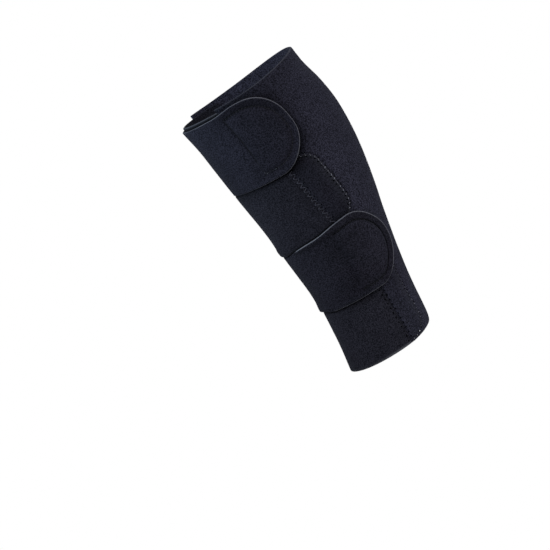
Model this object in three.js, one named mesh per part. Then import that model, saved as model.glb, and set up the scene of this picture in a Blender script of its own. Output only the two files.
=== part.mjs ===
// Calf compression wrap, closed as it is worn on the left side: a foam-and-knit panel round the back,
// a front panel that is butt-joined to it on the outer side and tucks under it on the inner side, and
// two wide straps that cross the front and fasten on the outer side with hook pads.
//
// Frame, in millimetres: +Z is up, -X is the front, +X is the back, -Y is the outer side and +Y is
// the inner side. The origin is the middle of the lower opening.
// Angles are in degrees round the hollow: 0 on the outer side, 90 at the back, 180 on the inner side,
// -90 at the front. A layer's offset is its distance out from the hollow, square to the section.
import * as THREE from 'three';

// ---------------------------------------------------------------- driving sizes
const PANEL_T = 3.0;      // thickness of the calf and front panels
const STRAP_T = 2.6;      // thickness of the straps
const PAD_T = 1.1;        // thickness of the hook pads under the strap ends
const PATCH_T = 1.0;      // thickness of the loop patches beside the seam
const LAYER_GAP = 0.4;    // clear gap between one layer and the next
const SEAM_GAP = 0.35;    // half of the gap along a butt joint

const UNDERLAP_END = -155;    // where the front panel ends, under the calf panel
const MEDIAL_EDGE = 232;      // free edge of the calf panel, on the inner side
const STEP_UP = { from: 166, to: 200, height: PANEL_T + LAYER_GAP };   // calf panel climbs onto the underlap
const STRAP_ROOT = MEDIAL_EDGE - 360;                                  // straps are sewn to that edge

const CALF_RIM = { low: 289.0, rise: 10.0, middle: 100, spread: 115 };  // upper edge, highest at the back
const FRONT_RIM = 285.6;                                                // upper edge of the front panel
const CALF_HEM = { low: 0.0, rise: 3.4, middle: 90, spread: 65 };       // lower edge, cut up at the back

// The hollow of the wrap, with the outer seam: a row for each level.
// front, back: ends of the section; half: half of its width; egg: how much fuller it is
// towards the back; seam: angle of the seam between the front panel and the calf panel.
const HOLLOW = [
  { z: 0, front: -43.4, back: 39.6, half: 36.0, egg: -0.06, seam: 27.2 },
  { z: 7, front: -42.2, back: 42.7, half: 36.0, egg: -0.06, seam: 25.3 },
  { z: 19, front: -40.2, back: 44.5, half: 35.8, egg: -0.05, seam: 23.1 },
  { z: 39, front: -37.5, back: 46.2, half: 35.9, egg: -0.03, seam: 20.7 },
  { z: 62, front: -35.4, back: 48.6, half: 37.0, egg: 0.00, seam: 16.8 },
  { z: 84, front: -35.2, back: 52.0, half: 39.3, egg: 0.02, seam: 12.6 },
  { z: 103, front: -36.7, back: 55.7, half: 41.9, egg: 0.04, seam: 8.9 },
  { z: 126, front: -38.7, back: 60.2, half: 45.0, egg: 0.06, seam: 4.4 },
  { z: 144, front: -40.6, back: 64.2, half: 47.8, egg: 0.07, seam: 1.2 },
  { z: 167, front: -43.3, back: 68.6, half: 51.2, egg: 0.08, seam: -3.9 },
  { z: 190, front: -46.4, back: 71.8, half: 54.4, egg: 0.08, seam: -6.7 },
  { z: 213, front: -49.5, back: 73.5, half: 56.6, egg: 0.08, seam: -10.0 },
  { z: 236, front: -52.3, back: 73.5, half: 57.6, egg: 0.07, seam: -15.2 },
  { z: 259, front: -55.0, back: 70.3, half: 57.6, egg: 0.06, seam: -20.5 },
  { z: 282, front: -59.4, back: 64.3, half: 57.2, egg: 0.05, seam: -25.8 },
  { z: 300, front: -62.0, back: 62.0, half: 57.0, egg: 0.05, seam: -30.0 },
];

// The straps. Lengths along a strap are measured from the outer side, + towards the back.
// top, bottom: levels of its edges; lift_top, lift_bottom: how far the edges rise by the round end,
// between rise_from and rise_to; tuck, hitch: how far the upper edge dips and the lower edge rises at
// the front, before tuck_to; centre, reach: middle and length of the round end;
// full_top, full_bottom: how much fuller than an ellipse the end is; climb_from, climb_to: where
// the strap climbs over its hook pad; pad_from: straight edge of the pad; pad_inset: its margin.
const STRAPS = [
  { name: 'upper', top: 282.7, bottom: 205.3, lift_top: 3.3, lift_bottom: 0.0, rise_from: -42, rise_to: -4, tuck: 0, hitch: 0, tuck_to: -42,
    centre: -16, reach: 36.7, full_top: 0.12, full_bottom: -0.035, climb_from: -64, climb_to: -36, pad_from: -30, pad_inset: 6.5 },
  { name: 'lower', top: 132.2, bottom: 63.7, lift_top: 9.9, lift_bottom: 0.8, rise_from: -62, rise_to: 24, tuck: 2.6, hitch: 2.4, tuck_to: -42,
    centre: 16, reach: 34.6, full_top: -0.055, full_bottom: -0.065, climb_from: -38, climb_to: -10, pad_from: -3, pad_inset: 5.8 },
];
const [UPPER, LOWER] = STRAPS;

// Folds of the front panel, from the lower edge up. edge: the edge that the row keeps to;
// d: distance above that edge; lift: how far the panel stands out there, at the front.
const FRONT_FOLDS = [
  { edge: 'hem', d: 0, lift: 0.0 },
  { edge: 'hem', d: 9, lift: 0.3 },
  { edge: 'hem', d: 24, lift: 0.8 },
  { edge: 'hem', d: 42, lift: 1.2 },
  { edge: 'low_bottom', d: -7, lift: 1.4 },
  { edge: 'low_bottom', d: -1.0, lift: 0.2 },
  { edge: 'low_bottom', d: 4, lift: 0.0 },
  { edge: 'low_bottom', d: 24, lift: 0.0 },
  { edge: 'low_top', d: -24, lift: 0.0 },
  { edge: 'low_top', d: 0.2, lift: 0.0 },
  { edge: 'low_top', d: 1.3, lift: 3.4 },
  { edge: 'low_top', d: 3, lift: 4.4 },
  { edge: 'low_top', d: 6.5, lift: 4.5 },
  { edge: 'low_top', d: 12, lift: 3.8 },
  { edge: 'low_top', d: 24, lift: 3.1 },
  { edge: 'low_top', d: 42, lift: 2.9 },
  { edge: 'up_bottom', d: -12, lift: 2.8 },
  { edge: 'up_bottom', d: -4, lift: 2.6 },
  { edge: 'up_bottom', d: -1.0, lift: 0.2 },
  { edge: 'up_bottom', d: 4, lift: 0.0 },
  { edge: 'up_bottom', d: 28, lift: 0.0 },
  { edge: 'up_bottom', d: 54, lift: 0.0 },
  { edge: 'rim', d: 0, lift: 0.0 },
];
// Share of that lift by angle: none under the calf panel, all at the front, part by the seam.
const LIFT_SHARE = { start: -124, full: -106, fade: -70, seam: -34, at_seam: 0.42 };

// Loop patches, on the calf panel behind the seam. top, bottom: levels of its edges; slant, slant_from:
// how much the upper edge rises for each degree past an angle; right, lean: angle of its rear edge at
// the level mid, and how much that angle grows for each millimetre down; corner, corner_top: radii of
// its lower and upper rear corners.
const PATCHES = [
  { name: 'upper', top: 210.7, slant: 0.12, slant_from: -8, bottom: 137, mid: 180, right: 21.3, lean: 0.19, corner: 18.5, corner_top: 15 },
  { name: 'lower', top: 68.2, slant: 0.75, slant_from: 29, bottom: 3.2, mid: 40, right: 50.6, lean: 0.12, corner: 16, corner_top: 4 },
];
const PATCH_FROM_SEAM = 1.8;   // degrees from the seam to a patch

// Mesh counts: columns round the hollow and rows up it
const GRID = { calf_cols: 30, calf_rows: 17, front_cols: 19, strap_cols: 15, end_cols: 5, strap_rows: 8, pad_cols: 2, pad_end_cols: 4, pad_rows: 8, patch_rows: 8 };

// ---------------------------------------------------------------- curves and surfaces
const rad = THREE.MathUtils.degToRad, deg = THREE.MathUtils.radToDeg, mix = THREE.MathUtils.lerp;
const ease = (x, from, to) => THREE.MathUtils.smoothstep(x, from, to);

// Smooth value of one column of a table, between its rows.
function along(rows, z, column) {
  const last = rows.length - 2;
  let k = 0;
  while (k < last && z > rows[k + 1].z) k += 1;
  const slope = (i) => {
    const a = rows[Math.max(i - 1, 0)], b = rows[Math.min(i + 1, rows.length - 1)];
    return (b[column] - a[column]) / (b.z - a.z);
  };
  const p = rows[k], q = rows[k + 1], h = q.z - p.z, s = (z - p.z) / h, s2 = s * s, s3 = s2 * s;
  return (2 * s3 - 3 * s2 + 1) * p[column] + (s3 - 2 * s2 + s) * h * slope(k)
    + (3 * s2 - 2 * s3) * q[column] + (s3 - s2) * h * slope(k + 1);
}

// Point at an angle and a level, at an offset from the hollow.
function onHollow(angle, z, offset) {
  const front = along(HOLLOW, z, 'front'), back = along(HOLLOW, z, 'back');
  const half = along(HOLLOW, z, 'half'), egg = along(HOLLOW, z, 'egg');
  const depth = (back - front) / 2, s = Math.sin(rad(angle)), c = Math.cos(rad(angle));
  const x = (back + front) / 2 + depth * s, y = -half * c * (1 + egg * s);
  const dx = depth * c, dy = half * s * (1 + egg * s) - half * egg * c * c;
  const length = Math.hypot(dx, dy);
  return new THREE.Vector3(x + offset * dy / length, y - offset * dx / length, z);
}

// Length round the hollow to angle, at a level, under a strap.
function radiusAt(z) {
  const depth = (along(HOLLOW, z, 'back') - along(HOLLOW, z, 'front')) / 2;
  return 0.8 * depth + 0.2 * along(HOLLOW, z, 'half') + PANEL_T + LAYER_GAP + PAD_T + STRAP_T;
}
const toAngle = (length, z) => deg(length / radiusAt(z));
const toLength = (angle, z) => rad(angle) * radiusAt(z);

const hump = (angle, h) => {
  const x = Math.min(Math.abs(angle - h.middle) / h.spread, 1);
  return h.low + h.rise * (0.5 + 0.5 * Math.cos(Math.PI * x));
};
const seamAt = (z) => along(HOLLOW, z, 'seam');
const atFront = (strap, length) => 1 - ease(length, strap.tuck_to - 22, strap.tuck_to);
const strapTop = (strap, length) => strap.top + strap.lift_top * ease(length, strap.rise_from, strap.rise_to)
  - strap.tuck * atFront(strap, length);
const strapBottom = (strap, length) => strap.bottom + strap.lift_bottom * ease(length, strap.rise_from, strap.rise_to)
  + strap.hitch * atFront(strap, length);
const strapMiddle = (strap) => (strap.top + strap.bottom) / 2;

// Levels of the edges that the front panel's folds keep to, at an angle.
function edgesAt(angle) {
  const up = toLength(angle, strapMiddle(UPPER)), low = toLength(angle, strapMiddle(LOWER));
  return { hem: hump(angle, CALF_HEM), low_bottom: strapBottom(LOWER, low), low_top: strapTop(LOWER, low),
    up_bottom: strapBottom(UPPER, up), rim: FRONT_RIM };
}

// ---------------------------------------------------------------- closed shells
// A sheet with two faces and four walls. place(i, j) gives its inner and outer point at a column
// and a row; columns run with the angle and rows run up.
function shell(name, look, cols, rows, place) {
  const points = [], index = [], at = (i, j, side) => (j * (cols + 1) + i) * 2 + side;
  for (let j = 0; j <= rows; j += 1) {
    for (let i = 0; i <= cols; i += 1) {
      const { inner, outer } = place(i, j);
      points.push(inner.x, inner.y, inner.z, outer.x, outer.y, outer.z);
    }
  }
  const quad = (a, b, c, d) => index.push(a, b, c, a, c, d);
  for (let j = 0; j < rows; j += 1) {
    for (let i = 0; i < cols; i += 1) {
      quad(at(i, j, 1), at(i + 1, j, 1), at(i + 1, j + 1, 1), at(i, j + 1, 1));
      quad(at(i, j, 0), at(i, j + 1, 0), at(i + 1, j + 1, 0), at(i + 1, j, 0));
    }
    quad(at(0, j, 0), at(0, j, 1), at(0, j + 1, 1), at(0, j + 1, 0));
    quad(at(cols, j, 1), at(cols, j, 0), at(cols, j + 1, 0), at(cols, j + 1, 1));
  }
  for (let i = 0; i < cols; i += 1) {
    quad(at(i, 0, 0), at(i + 1, 0, 0), at(i + 1, 0, 1), at(i, 0, 1));
    quad(at(i, rows, 1), at(i + 1, rows, 1), at(i + 1, rows, 0), at(i, rows, 0));
  }
  const geometry = new THREE.BufferGeometry();
  geometry.setAttribute('position', new THREE.Float32BufferAttribute(points, 3));
  geometry.setIndex(index);
  geometry.computeVertexNormals();
  const mesh = new THREE.Mesh(geometry, new THREE.MeshStandardMaterial(look));
  mesh.name = name;
  return mesh;
}
const layer = (angle, z, offset, thickness) => ({ inner: onHollow(angle, z, offset), outer: onHollow(angle, z, offset + thickness) });

// Angle and level of a point whose level depends on its angle and whose angle depends on its level.
function settle(share, left, right, levelAt) {
  let angle = mix(left(150), right(150), share), z = levelAt(angle);
  for (let n = 0; n < 6; n += 1) {
    angle = mix(left(z), right(z), share);
    z = levelAt(angle);
  }
  return { angle, z };
}
const seamGap = (z) => deg(SEAM_GAP / radiusAt(z));

// ---------------------------------------------------------------- panels
function calfPanel() {
  const { calf_cols: cols, calf_rows: rows } = GRID;
  return shell('calf_panel', { color: 0x26272e, roughness: 0.95, metalness: 0 }, cols, rows, (i, j) => {
    const { angle, z } = settle(i / cols, (level) => seamAt(level) + seamGap(level), () => MEDIAL_EDGE,
      (a) => mix(hump(a, CALF_HEM), hump(a, CALF_RIM), j / rows));
    return layer(angle, z, STEP_UP.height * ease(angle, STEP_UP.from, STEP_UP.to), PANEL_T);
  });
}

function frontPanel() {
  const cols = GRID.front_cols, rows = FRONT_FOLDS.length - 1;
  return shell('front_panel', { color: 0x17181f, roughness: 0.9, metalness: 0 }, cols, rows, (i, j) => {
    const fold = FRONT_FOLDS[j];
    const { angle, z } = settle(i / cols, () => UNDERLAP_END, (level) => seamAt(level) - seamGap(level),
      (a) => edgesAt(a)[fold.edge] + fold.d);
    const share = ease(angle, LIFT_SHARE.start, LIFT_SHARE.full)
      * mix(1, LIFT_SHARE.at_seam, ease(angle, LIFT_SHARE.fade, LIFT_SHARE.seam));
    return layer(angle, z, fold.lift * share, PANEL_T);
  });
}

// ---------------------------------------------------------------- straps and their pads
// Place on a strap's round end: p runs 0 to 1 along it and q -1 to 1 across it. The square of p
// and q is carried onto half an ellipse, whose upper and lower parts can be made fuller.
function onRoundEnd(strap, inset, p, q) {
  const x = p * Math.sqrt(1 - q * q / 2), y = q * Math.sqrt(1 - p * p / 2), turn = Math.sin(2 * Math.atan2(y, x));
  const full = 1 + (y > 0 ? strap.full_top : strap.full_bottom) * turn * turn * (x * x + y * y);
  const top = strapTop(strap, strap.centre), bottom = strapBottom(strap, strap.centre);
  const z = (top + bottom) / 2 + ((top - bottom) / 2 - inset) * y * full;
  return { angle: toAngle(strap.centre + (strap.reach - inset) * x * full, z), z };
}

function strapMesh(strap) {
  const { strap_cols: body, end_cols: end, strap_rows: rows } = GRID, middle = strapMiddle(strap);
  const start = STRAP_ROOT + seamGap(middle), offsetAt = (angle) => PANEL_T + LAYER_GAP
    + (PAD_T + LAYER_GAP) * ease(toLength(angle, middle), strap.climb_from, strap.climb_to);
  return shell(`${strap.name}_strap`, { color: 0x1a1b23, roughness: 0.9, metalness: 0 }, body + end, rows, (i, j) => {
    if (i > body) {
      const { angle, z } = onRoundEnd(strap, 0, (i - body) / end, 2 * j / rows - 1);
      return layer(angle, z, offsetAt(angle), STRAP_T);
    }
    const { angle, z } = settle(i / body, () => start, (level) => toAngle(strap.centre, level), (a) => {
      const length = toLength(a, middle);
      return mix(strapBottom(strap, length), strapTop(strap, length), j / rows);
    });
    return layer(angle, z, offsetAt(angle), STRAP_T);
  });
}

function hookPad(strap) {
  const { pad_cols: body, pad_end_cols: end, pad_rows: rows } = GRID, inset = strap.pad_inset;
  const offset = PANEL_T + LAYER_GAP;
  return shell(`${strap.name}_hook_pad`, { color: 0x101116, roughness: 0.8, metalness: 0 }, body + end, rows, (i, j) => {
    if (i > body) {
      const { angle, z } = onRoundEnd(strap, inset, (i - body) / end, 2 * j / rows - 1);
      return layer(angle, z, offset, PAD_T);
    }
    const length = mix(strap.pad_from, strap.centre, i / body);
    const z = mix(strapBottom(strap, length) + inset, strapTop(strap, length) - inset, j / rows);
    return layer(toAngle(length, z), z, offset, PAD_T);
  });
}

// ---------------------------------------------------------------- loop patches
function loopPatch(patch) {
  const shares = [0, 0.3, 0.55, 0.75, 0.88, 0.97, 1], cols = shares.length - 1, rows = GRID.patch_rows;
  const left = (z) => seamAt(z) + PATCH_FROM_SEAM, right = (z) => patch.right + patch.lean * (patch.mid - z);
  return shell(`${patch.name}_loop_patch`, { color: 0x16171d, roughness: 0.95, metalness: 0 }, cols, rows, (i, j) => {
    // distance to the rear edge sets how far the rounded corners have cut in
    const width = rad(right(patch.mid) - left(patch.mid)) * radiusAt(patch.mid);
    const cut = (corner) => corner - Math.sqrt(corner ** 2 - Math.max(corner - width * (1 - shares[i]), 0) ** 2);
    const { angle, z } = settle(shares[i], left, right, (a) => {
      const bottom = Math.max(patch.bottom, hump(a, CALF_HEM) + 1.6);
      const top = patch.top + patch.slant * Math.max(a - patch.slant_from, 0);
      return mix(bottom + cut(patch.corner), top - cut(patch.corner_top), j / rows);
    });
    return layer(angle, z, PANEL_T + LAYER_GAP, PATCH_T);
  });
}

// ---------------------------------------------------------------- the wrap
const wrap = new THREE.Group();
wrap.add(calfPanel(), frontPanel());
for (const strap of STRAPS) wrap.add(strapMesh(strap), hookPad(strap));
for (const patch of PATCHES) wrap.add(loopPatch(patch));

export default wrap;
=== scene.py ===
# Calf compression wrap: the looks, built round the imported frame. Every soft piece is modelled
# here in millimetres by the same rules as its solid, then written in metres.
import math

import bpy
import numpy as np
from mathutils import Matrix, Vector


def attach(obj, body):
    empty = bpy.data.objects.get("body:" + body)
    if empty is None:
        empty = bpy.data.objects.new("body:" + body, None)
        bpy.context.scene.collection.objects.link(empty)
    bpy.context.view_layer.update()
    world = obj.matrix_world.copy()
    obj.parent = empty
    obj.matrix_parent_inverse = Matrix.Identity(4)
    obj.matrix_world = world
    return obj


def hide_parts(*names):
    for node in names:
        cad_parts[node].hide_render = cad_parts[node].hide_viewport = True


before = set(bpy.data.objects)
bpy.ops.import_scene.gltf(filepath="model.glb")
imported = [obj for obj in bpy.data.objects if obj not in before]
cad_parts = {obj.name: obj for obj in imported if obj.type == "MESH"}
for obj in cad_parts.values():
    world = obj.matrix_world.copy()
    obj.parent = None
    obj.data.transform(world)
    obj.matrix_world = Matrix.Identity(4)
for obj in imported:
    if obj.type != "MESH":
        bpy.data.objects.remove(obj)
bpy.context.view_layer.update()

MM = 0.001

# ------------------------------------------------------------------------------------------
# Sizes, in millimetres and degrees. Angles run round the hollow: 0 on the outer side, 90 at the
# back, -90 at the front. Offsets run out from the hollow.
# ------------------------------------------------------------------------------------------
PANEL_T, STRAP_T, PAD_T, PATCH_T, GAP = 3.0, 2.6, 1.1, 1.0, 0.4
SEAM_GAP = 0.12
UNDERLAP_END, MEDIAL_EDGE = -155.0, 232.0
STRAP_ROOT = MEDIAL_EDGE - 360.0
STEP_FROM, STEP_TO, STEP_H = 166.0, 200.0, PANEL_T + GAP
CALF_RIM = dict(low=289.0, rise=10.0, middle=100.0, spread=115.0)
CALF_HEM = dict(low=0.0, rise=3.4, middle=90.0, spread=65.0)
FRONT_RIM = 285.6

HOLLOW_COLUMNS = ("z", "front", "back", "half", "egg", "seam")
HOLLOW = np.array([
    (0, -43.4, 39.6, 36.0, -0.06, 27.2),
    (7, -42.2, 42.7, 36.0, -0.06, 25.3),
    (19, -40.2, 44.5, 35.8, -0.05, 23.1),
    (39, -37.5, 46.2, 35.9, -0.03, 20.7),
    (62, -35.4, 48.6, 37.0, 0.00, 16.8),
    (84, -35.2, 52.0, 39.3, 0.02, 12.6),
    (103, -36.7, 55.7, 41.9, 0.04, 8.9),
    (126, -38.7, 60.2, 45.0, 0.06, 4.4),
    (144, -40.6, 64.2, 47.8, 0.07, 1.2),
    (167, -43.3, 68.6, 51.2, 0.08, -3.9),
    (190, -46.4, 71.8, 54.4, 0.08, -6.7),
    (213, -49.5, 73.5, 56.6, 0.08, -10.0),
    (236, -52.3, 73.5, 57.6, 0.07, -15.2),
    (259, -55.0, 70.3, 57.6, 0.06, -20.5),
    (282, -59.4, 64.3, 57.2, 0.05, -25.8),
    (300, -62.0, 62.0, 57.0, 0.05, -30.0),
])

UPPER = dict(name="upper", top=282.7, bottom=205.3, lift_top=3.3, lift_bottom=0.0, rise_from=-42, rise_to=-4,
             tuck=0.4, hitch=0.0, sag=0.0, flare=0.0, tuck_to=-42, edge_from=-150, edge_to=-140,
             centre=-16.0, reach=36.7, full_top=0.12, full_bottom=-0.035, climb_from=-64, climb_to=-36,
             pad_from=-30.0, pad_inset=6.5, curl=(0.7, 1.5), sewn=(6.9, 7.2, 8.4), pale_height=2.5, pale_reach=6.0, edge_thin=0.45, edge_wide=0.8, edge_wall=0.10, edge_shares=(0.5, 0.85, 0.95, 0.75, 0.75, 0.7),
             front_line=0.75, line_fade=(16.0, 34.0), line_shares=(0.6, 0.5, 0.4, 0.55, 1.05, 1.5), soft_line=0.0, band=0.0, margin=0.26, puff=(0.75, 6.0), dusk=(-8.0, 26.0, 0.13), bright=(-60.0, -34.0, 0.0))
LOWER = dict(name="lower", top=132.2, bottom=63.7, lift_top=9.9, lift_bottom=0.8, rise_from=-62, rise_to=24,
             tuck=2.6, hitch=2.4, sag=1.1, flare=0.9, tuck_to=-42, edge_from=-47, edge_to=-42,
             centre=16.0, reach=34.6, full_top=-0.055, full_bottom=-0.065, climb_from=-38, climb_to=-10,
             pad_from=-3.0, pad_inset=5.8, curl=(0.5, 1.0), sewn=(8.0, 8.6, 6.4), pale_height=0.6, pale_reach=-12.0, edge_thin=0.78, edge_wide=1.6, edge_wall=0.5, edge_shares=(0.6, 1.3, 1.3, 1.1, 1.0, 0.9),
             front_line=0.12, line_fade=(-9.0, -8.0), line_shares=(0.5, 0.85, 1.25, 1.25, 1.0, 0.8), soft_line=0.12, band=0.40, margin=0.0, puff=(1.0, 4.5), dusk=(-12.0, 15.0, 0.18), bright=(8.0, 46.0, 0.31))
STRAPS = (UPPER, LOWER)
# inset of the painted shade band along the crease of the lower strap's upper edge, before its pad
CREASE = ([-42.0, -34.0, -26.0, -18.0, -10.0, -2.0, 6.0, 14.0], [2.8, 3.2, 3.5, 4.3, 5.7, 6.2, 6.8, 7.5])

# folds of the front panel: the edge that a row keeps to, its distance above it, its lift at the front
FOLDS = [
    ("hem", 0.0, 0.0), ("hem", 9.0, 0.2), ("hem", 24.0, 0.6), ("hem", 42.0, 1.2),
    ("low_bottom", -7.0, 1.4), ("low_bottom", -2.2, 1.1), ("low_bottom", 0.8, 0.0), ("low_bottom", 4.0, 0.0),
    ("low_bottom", 24.0, 0.0), ("low_top", -24.0, 0.0), ("low_top", 0.3, 0.0), ("low_top", 0.9, 1.8),
    ("low_top", 1.5, 3.5), ("low_top", 2.8, 4.4), ("low_top", 6.5, 4.6), ("low_top", 12.0, 3.8), ("low_top", 24.0, 3.15),
    ("low_top", 42.0, 2.95), ("up_bottom", -12.0, 2.9), ("up_bottom", -3.0, 2.9), ("up_bottom", -1.2, 2.4),
    ("up_bottom", 0.8, 0.0), ("up_bottom", 4.0, 0.0), ("up_bottom", 28.0, 0.0), ("up_bottom", 54.0, 0.0), ("rim", 0.0, 0.0),
]
LIFT_SHARE = dict(start=-124.0, full=-106.0, fade=-70.0, seam=-34.0, at_seam=0.42)

PATCHES = (
    dict(name="upper", top=210.7, slant=0.12, slant_from=-8.0, bottom=137.0, mid=180.0, right=21.3, lean=0.19, corner=18.5, corner_top=15.0),
    dict(name="lower", top=68.2, slant=0.75, slant_from=29.0, bottom=2.6, mid=40.0, right=50.6, lean=0.12, corner=17.5, corner_top=4.0),
)
PATCH_FROM_SEAM = 1.4


# ------------------------------------------------------------------------------------------
# Curves and surfaces
# ------------------------------------------------------------------------------------------
def along(z, column):
    """Smooth value of one column of the hollow's table at the levels z."""
    z = np.asarray(z, float)
    zz, v = HOLLOW[:, 0], HOLLOW[:, HOLLOW_COLUMNS.index(column)]
    slope = np.empty_like(v)
    slope[1:-1] = (v[2:] - v[:-2]) / (zz[2:] - zz[:-2])
    slope[0], slope[-1] = (v[1] - v[0]) / (zz[1] - zz[0]), (v[-1] - v[-2]) / (zz[-1] - zz[-2])
    k = np.clip(np.searchsorted(zz, z) - 1, 0, len(zz) - 2)
    h = zz[k + 1] - zz[k]
    s = (z - zz[k]) / h
    return ((2 * s**3 - 3 * s**2 + 1) * v[k] + (s**3 - 2 * s**2 + s) * h * slope[k]
            + (3 * s**2 - 2 * s**3) * v[k + 1] + (s**3 - s**2) * h * slope[k + 1])


def ease(x, a, b):
    t = np.clip((np.asarray(x, float) - a) / (b - a), 0, 1)
    return t * t * (3 - 2 * t)


def mix(a, b, t):
    return a + (b - a) * t


def on_hollow(angle, z, offset):
    """Points at the angles and levels, at the offsets from the hollow."""
    angle, z, offset = np.broadcast_arrays(np.radians(angle), np.asarray(z, float), np.asarray(offset, float))
    front, back, half, egg = (along(z, c) for c in ("front", "back", "half", "egg"))
    depth, s, c = (back - front) / 2, np.sin(angle), np.cos(angle)
    x, y = (back + front) / 2 + depth * s, -half * c * (1 + egg * s)
    dx, dy = depth * c, half * s * (1 + egg * s) - half * egg * c * c
    n = np.hypot(dx, dy)
    return np.stack([x + offset * dy / n, y - offset * dx / n, z], -1)


def unit(v):
    return v / np.maximum(np.linalg.norm(v, axis=-1, keepdims=True), 1e-12)


def axes_at(angle, z, offset):
    """Point, outward normal, direction round the hollow and direction up, at each place."""
    p = on_hollow(angle, z, offset)
    u = unit(on_hollow(np.asarray(angle) + 0.05, z, offset) - on_hollow(np.asarray(angle) - 0.05, z, offset))
    v = unit(on_hollow(angle, np.asarray(z) + 0.05, offset) - on_hollow(angle, np.asarray(z) - 0.05, offset))
    n = unit(np.cross(u, v))
    return p, n, u, unit(np.cross(n, u))


def radius_at(z):
    return 0.8 * (along(z, "back") - along(z, "front")) / 2 + 0.2 * along(z, "half") + PANEL_T + GAP + PAD_T + STRAP_T


def to_angle(length, z):
    return np.degrees(length / radius_at(z))


def to_length(angle, z):
    return np.radians(angle) * radius_at(z)


def hump(angle, h):
    x = np.minimum(np.abs(np.asarray(angle, float) - h["middle"]) / h["spread"], 1)
    return h["low"] + h["rise"] * (0.5 + 0.5 * np.cos(np.pi * x))


def seam_at(z):
    return along(z, "seam")


def gap_deg(z, gap=SEAM_GAP):
    return np.degrees(gap / radius_at(z))


def at_front(s, length):
    return 1 - ease(length, s["tuck_to"] - 22, s["tuck_to"])


def strap_top(s, length):
    return s["top"] + s["lift_top"] * ease(length, s["rise_from"], s["rise_to"]) - s["tuck"] * at_front(s, length) \
        - s["sag"] * np.exp(-((length + 15.0) / 13.0) ** 2)


def strap_bottom(s, length):
    return s["bottom"] + s["lift_bottom"] * ease(length, s["rise_from"], s["rise_to"]) + s["hitch"] * at_front(s, length)


def strap_mid(s):
    return (s["top"] + s["bottom"]) / 2


def edge_level(name, angle):
    if name == "hem":
        return hump(angle, CALF_HEM)
    if name == "rim":
        return np.full(np.shape(angle), FRONT_RIM)
    s = LOWER if name.startswith("low") else UPPER
    length = to_length(angle, strap_mid(s))
    return strap_bottom(s, length) if name.endswith("bottom") else strap_top(s, length)


def ripple(angle, z, seed):
    """Slow unevenness of a worn sheet, in millimetres."""
    a = np.radians(angle)
    r = np.zeros(np.broadcast(a, z).shape)
    for k, (ka, kz, w) in enumerate([(5, 0.055, 0.5), (9, -0.034, 0.35), (3, 0.083, 0.35), (13, 0.047, 0.2), (7, -0.11, 0.2)]):
        r = r + w * np.sin(ka * a + kz * z + seed * (k + 1.7))
    return r


def round_edge(d, r):
    """How far a face drops at a distance d from an edge that is rounded to a radius r."""
    x = np.clip(1 - np.asarray(d, float) / r, 0, 1)
    return r * (1 - np.sqrt(np.maximum(1 - x * x, 0)))


def pchip(x, xk, yk):
    """Smooth curve through the knots that never overshoots them."""
    h, d = np.diff(xk), np.diff(yk) / np.diff(xk)
    m = np.zeros_like(yk)
    for i in range(1, len(xk) - 1):
        if d[i - 1] * d[i] > 0:
            w1, w2 = 2 * h[i] + h[i - 1], h[i] + 2 * h[i - 1]
            m[i] = (w1 + w2) / (w1 / d[i - 1] + w2 / d[i])
    k = np.clip(np.searchsorted(xk, x) - 1, 0, len(xk) - 2)
    s = (x - xk[k]) / h[k]
    return ((2 * s**3 - 3 * s**2 + 1) * yk[k] + (s**3 - 2 * s**2 + s) * h[k] * m[k]
            + (3 * s**2 - 2 * s**3) * yk[k + 1] + (s**3 - s**2) * h[k] * m[k + 1])


EDGE_LINES = (0.0, 0.22, 0.5, 0.85, 1.3, 1.9, 2.8, 4.0)


def graded(length, step, near=EDGE_LINES, far=EDGE_LINES):
    """Places 0 to 1 along a length, closer together at both ends."""
    near, far = np.array(near), length - np.array(far)[::-1]
    n = max(int(round((far[0] - near[-1]) / step)), 1)
    return np.concatenate([near, np.linspace(near[-1], far[0], n + 1)[1:-1], far]) / length


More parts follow.
